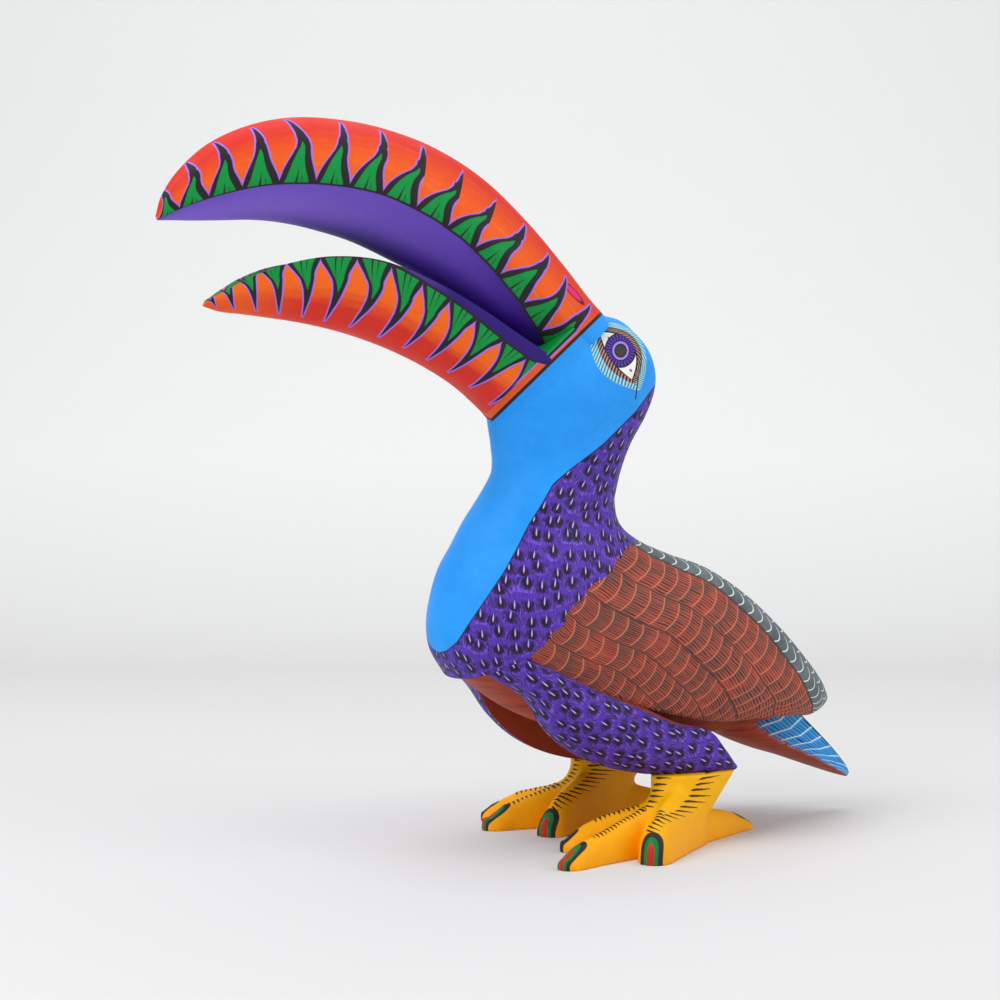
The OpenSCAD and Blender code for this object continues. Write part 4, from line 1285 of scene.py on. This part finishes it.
for side, nm, toes in ((1, "left", LEFT_TOES), (-1, "right", RIGHT_TOES)):
    V, Q = make_leg(toes, side)
    at = {"z": V[:, 2]}
    cx = side * 39.0
    X, Y = V[:, 0] - cx, V[:, 1]
    n1, n2, n3 = np.full(len(V), 9.0), np.full(len(V), 9.0), np.full(len(V), 9.0)
    for t in toes:
        c = math.radians(t[0])
        d = np.array([math.sin(c), -math.cos(c)])
        p = X * d[0] + Y * d[1]
        q = np.abs(-X * d[1] + Y * d[0])
        w = np.hypot(t[1] - p, V[:, 2])
        blunt = t[1] < 63.5 and t[2] > 11
        wn, qn = (16.5, 5.7) if blunt else (21.0, 4.0)
        rear = t is toes[2]
        if rear:
            wn, qn = 15.0, 2.4

        def nail(qn, w0, w1):
            r = ((q / qn) ** 2.6 + (np.abs(w - (w0 + w1) / 2) / ((w1 - w0) / 2)) ** 2.6) ** (1 / 2.6)
            r = np.where((w < (w0 + w1) / 2), np.maximum(q / qn, np.where(w < w0, 2.0, 0)), r)
            return np.where(p > 0, r, 9.0)

        n1 = np.minimum(n1, nail(qn, -1.0, wn))
        if not rear:
            n2 = np.minimum(n2, nail(qn * 0.64, -1.0, wn * 0.84))
            n3 = np.minimum(n3, nail(qn * 0.34, -1.0, wn * 0.66))
    at["n1"], at["n2"], at["n3"] = n1, n2, n3
    if side > 0:
        main, blunt, third = toes[0], toes[1], toes[2]
        l1 = toe_ridge(main, 31, 72, side)
        l2 = toe_ridge(blunt, 40, 50, side)
        l3 = toe_ridge(third, 24, 50, side)
    else:
        main, blunt, third = toes[1], toes[0], toes[2]
        l1 = toe_ridge(main, 26, 56, side)
        l2 = toe_ridge(blunt, 40, 48, side)
        l3 = toe_ridge(third, 24, 48, side)
    for j, l in ((1, l1), (4, l2), (3, l3)):
        s, q = ridge_coords(V, l)
        tot = sum(np.linalg.norm(np.array(b) - np.array(a)) for a, b in zip(l[:-1], l[1:]))
        at["s%d" % j], at["q%d" % j] = s, q
        at["m%d" % j] = np.clip((tot - s) / 0.5, 0, 1) * np.clip(s / 0.5, 0, 1)
    for j, rungs in ((5, FRONT_RUNGS if side > 0 else FAR_FRONT), (6, SIDE_RUNGS if side > 0 else FAR_SIDE)):
        at["k%d" % j], at["t%d" % j], at["g%d" % j] = ladder(V, rungs)
        at["g%d" % j] = at["g%d" % j] * (V[:, 0] > cx - 12.0)
        # the strokes stay on the faces they are painted on
        if j == 5:
            at["g5"] = at["g5"] * (Y < -4)
    add(nm + "_leg_carved", V, Q.tolist(), at, MAT["foot"], nm + "_leg", sharp=70)

for n in ("neck_dowels", "beak_dowels", "wing_pegs", "tail_pegs", "thigh_pegs", "leg_pegs"):
    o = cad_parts[n]
    o.data.materials.clear()
    o.data.materials.append(MAT["wood"])

# ---------------------------------------------------------------- floor, light and camera

def stage_mat():
    m = new_mat("backdrop")
    t = m.node_tree
    out = t.nodes.new("ShaderNodeOutputMaterial")
    b = t.nodes.new("ShaderNodeBsdfPrincipled")
    # painted shade: one paper, painted greyer on the flat floor and lighter where it rises behind
    c = mix((221, 221, 222), (245, 246, 246), attr("rise"))
    t.links.new(c.k, b.inputs["Base Color"])
    b.inputs["Roughness"].default_value = 0.9
    b.inputs["Specular IOR Level"].default_value = 0.1
    t.links.new(b.outputs[0], out.inputs[0])
    return m


def floor_mesh():
    """A sheet of studio paper: flat under the figure, curving up far behind it."""
    d = np.array([VIEW[0], VIEW[1], 0.0])
    d /= np.linalg.norm(d)
    r = np.array([RIGHT[0], RIGHT[1], 0.0])
    prof = [(-3.0, 0.0), (0.9, 0.0)]
    for i in range(1, 17):
        a = math.pi / 2 * i / 16
        prof.append((0.9 + 0.9 * math.sin(a), 0.9 * (1 - math.cos(a))))
    prof.append((1.8, 4.5))
    V, F = [], []
    for x, z in prof:
        for w in (-4.0, 4.0):
            p = d * x + r * w
            V.append((p[0], p[1], z))
    for i in range(len(prof) - 1):
        F.append((2 * i, 2 * i + 1, 2 * i + 3, 2 * i + 2))
    me = bpy.data.meshes.new("studio_paper")
    me.from_pydata(V, [], F)
    for p in me.polygons:
        p.use_smooth = True
    o = bpy.data.objects.new("studio_paper", me)
    bpy.context.scene.collection.objects.link(o)
    a = me.attributes.new("rise", "FLOAT", "POINT")
    for i, (x, z) in enumerate(prof):
        a.data[2 * i].value = a.data[2 * i + 1].value = min(max((i - 1) / 7.0, 0.0), 1.0)
    me.materials.append(stage_mat())
    return o


floor_mesh()

world = bpy.data.worlds.new("studio")
bpy.context.scene.world = world
world.use_nodes = True
bg = world.node_tree.nodes["Background"]
bg.inputs[0].default_value = (1.0, 1.0, 1.0, 1.0)
bg.inputs[1].default_value = 0.47


def area(name, at, to, size, power_w, colour=(1, 1, 1)):
    l = bpy.data.lights.new(name, "AREA")
    l.shape = "RECTANGLE"
    l.size, l.size_y = size
    l.energy = power_w
    l.color = colour
    o = bpy.data.objects.new(name, l)
    bpy.context.scene.collection.objects.link(o)
    o.location = at
    o.rotation_euler = (Vector(to) - Vector(at)).to_track_quat("-Z", "Y").to_euler()
    return o


def spot_at(right, up, back):
    """A place given as seen from the camera, in metres from the middle of the figure."""
    c = np.array([0.0, 0.0, 0.18]) + RIGHT * right + np.array([0, 0, 1.0]) * up + np.array([VIEW[0], VIEW[1], 0]) * back
    return tuple(c)


area("key", spot_at(-1.1, 1.3, -0.9), (0, 0, 0.16), (1.2, 1.2), 20)
area("fill", spot_at(1.5, 0.9, -0.6), (0, 0, 0.16), (1.4, 1.4), 10)
area("top", spot_at(0.1, 1.7, 0.3), (0, 0, 0.1), (1.6, 1.6), 12)

cam = bpy.data.cameras.new("camera")
cam.lens, cam.sensor_width = 72.0, 36.0
cam.clip_start, cam.clip_end = 0.05, 50.0
cam.dof.use_dof = False
co = bpy.data.objects.new("camera", cam)
bpy.context.scene.collection.objects.link(co)
co.location = Vector(tuple((EYE_AT + SHIFT) / 1000.0))
co.rotation_euler = Vector(tuple(VIEW)).to_track_quat("-Z", "Y").to_euler()
bpy.context.scene.camera = co
bpy.context.scene.view_settings.view_transform = "Standard"
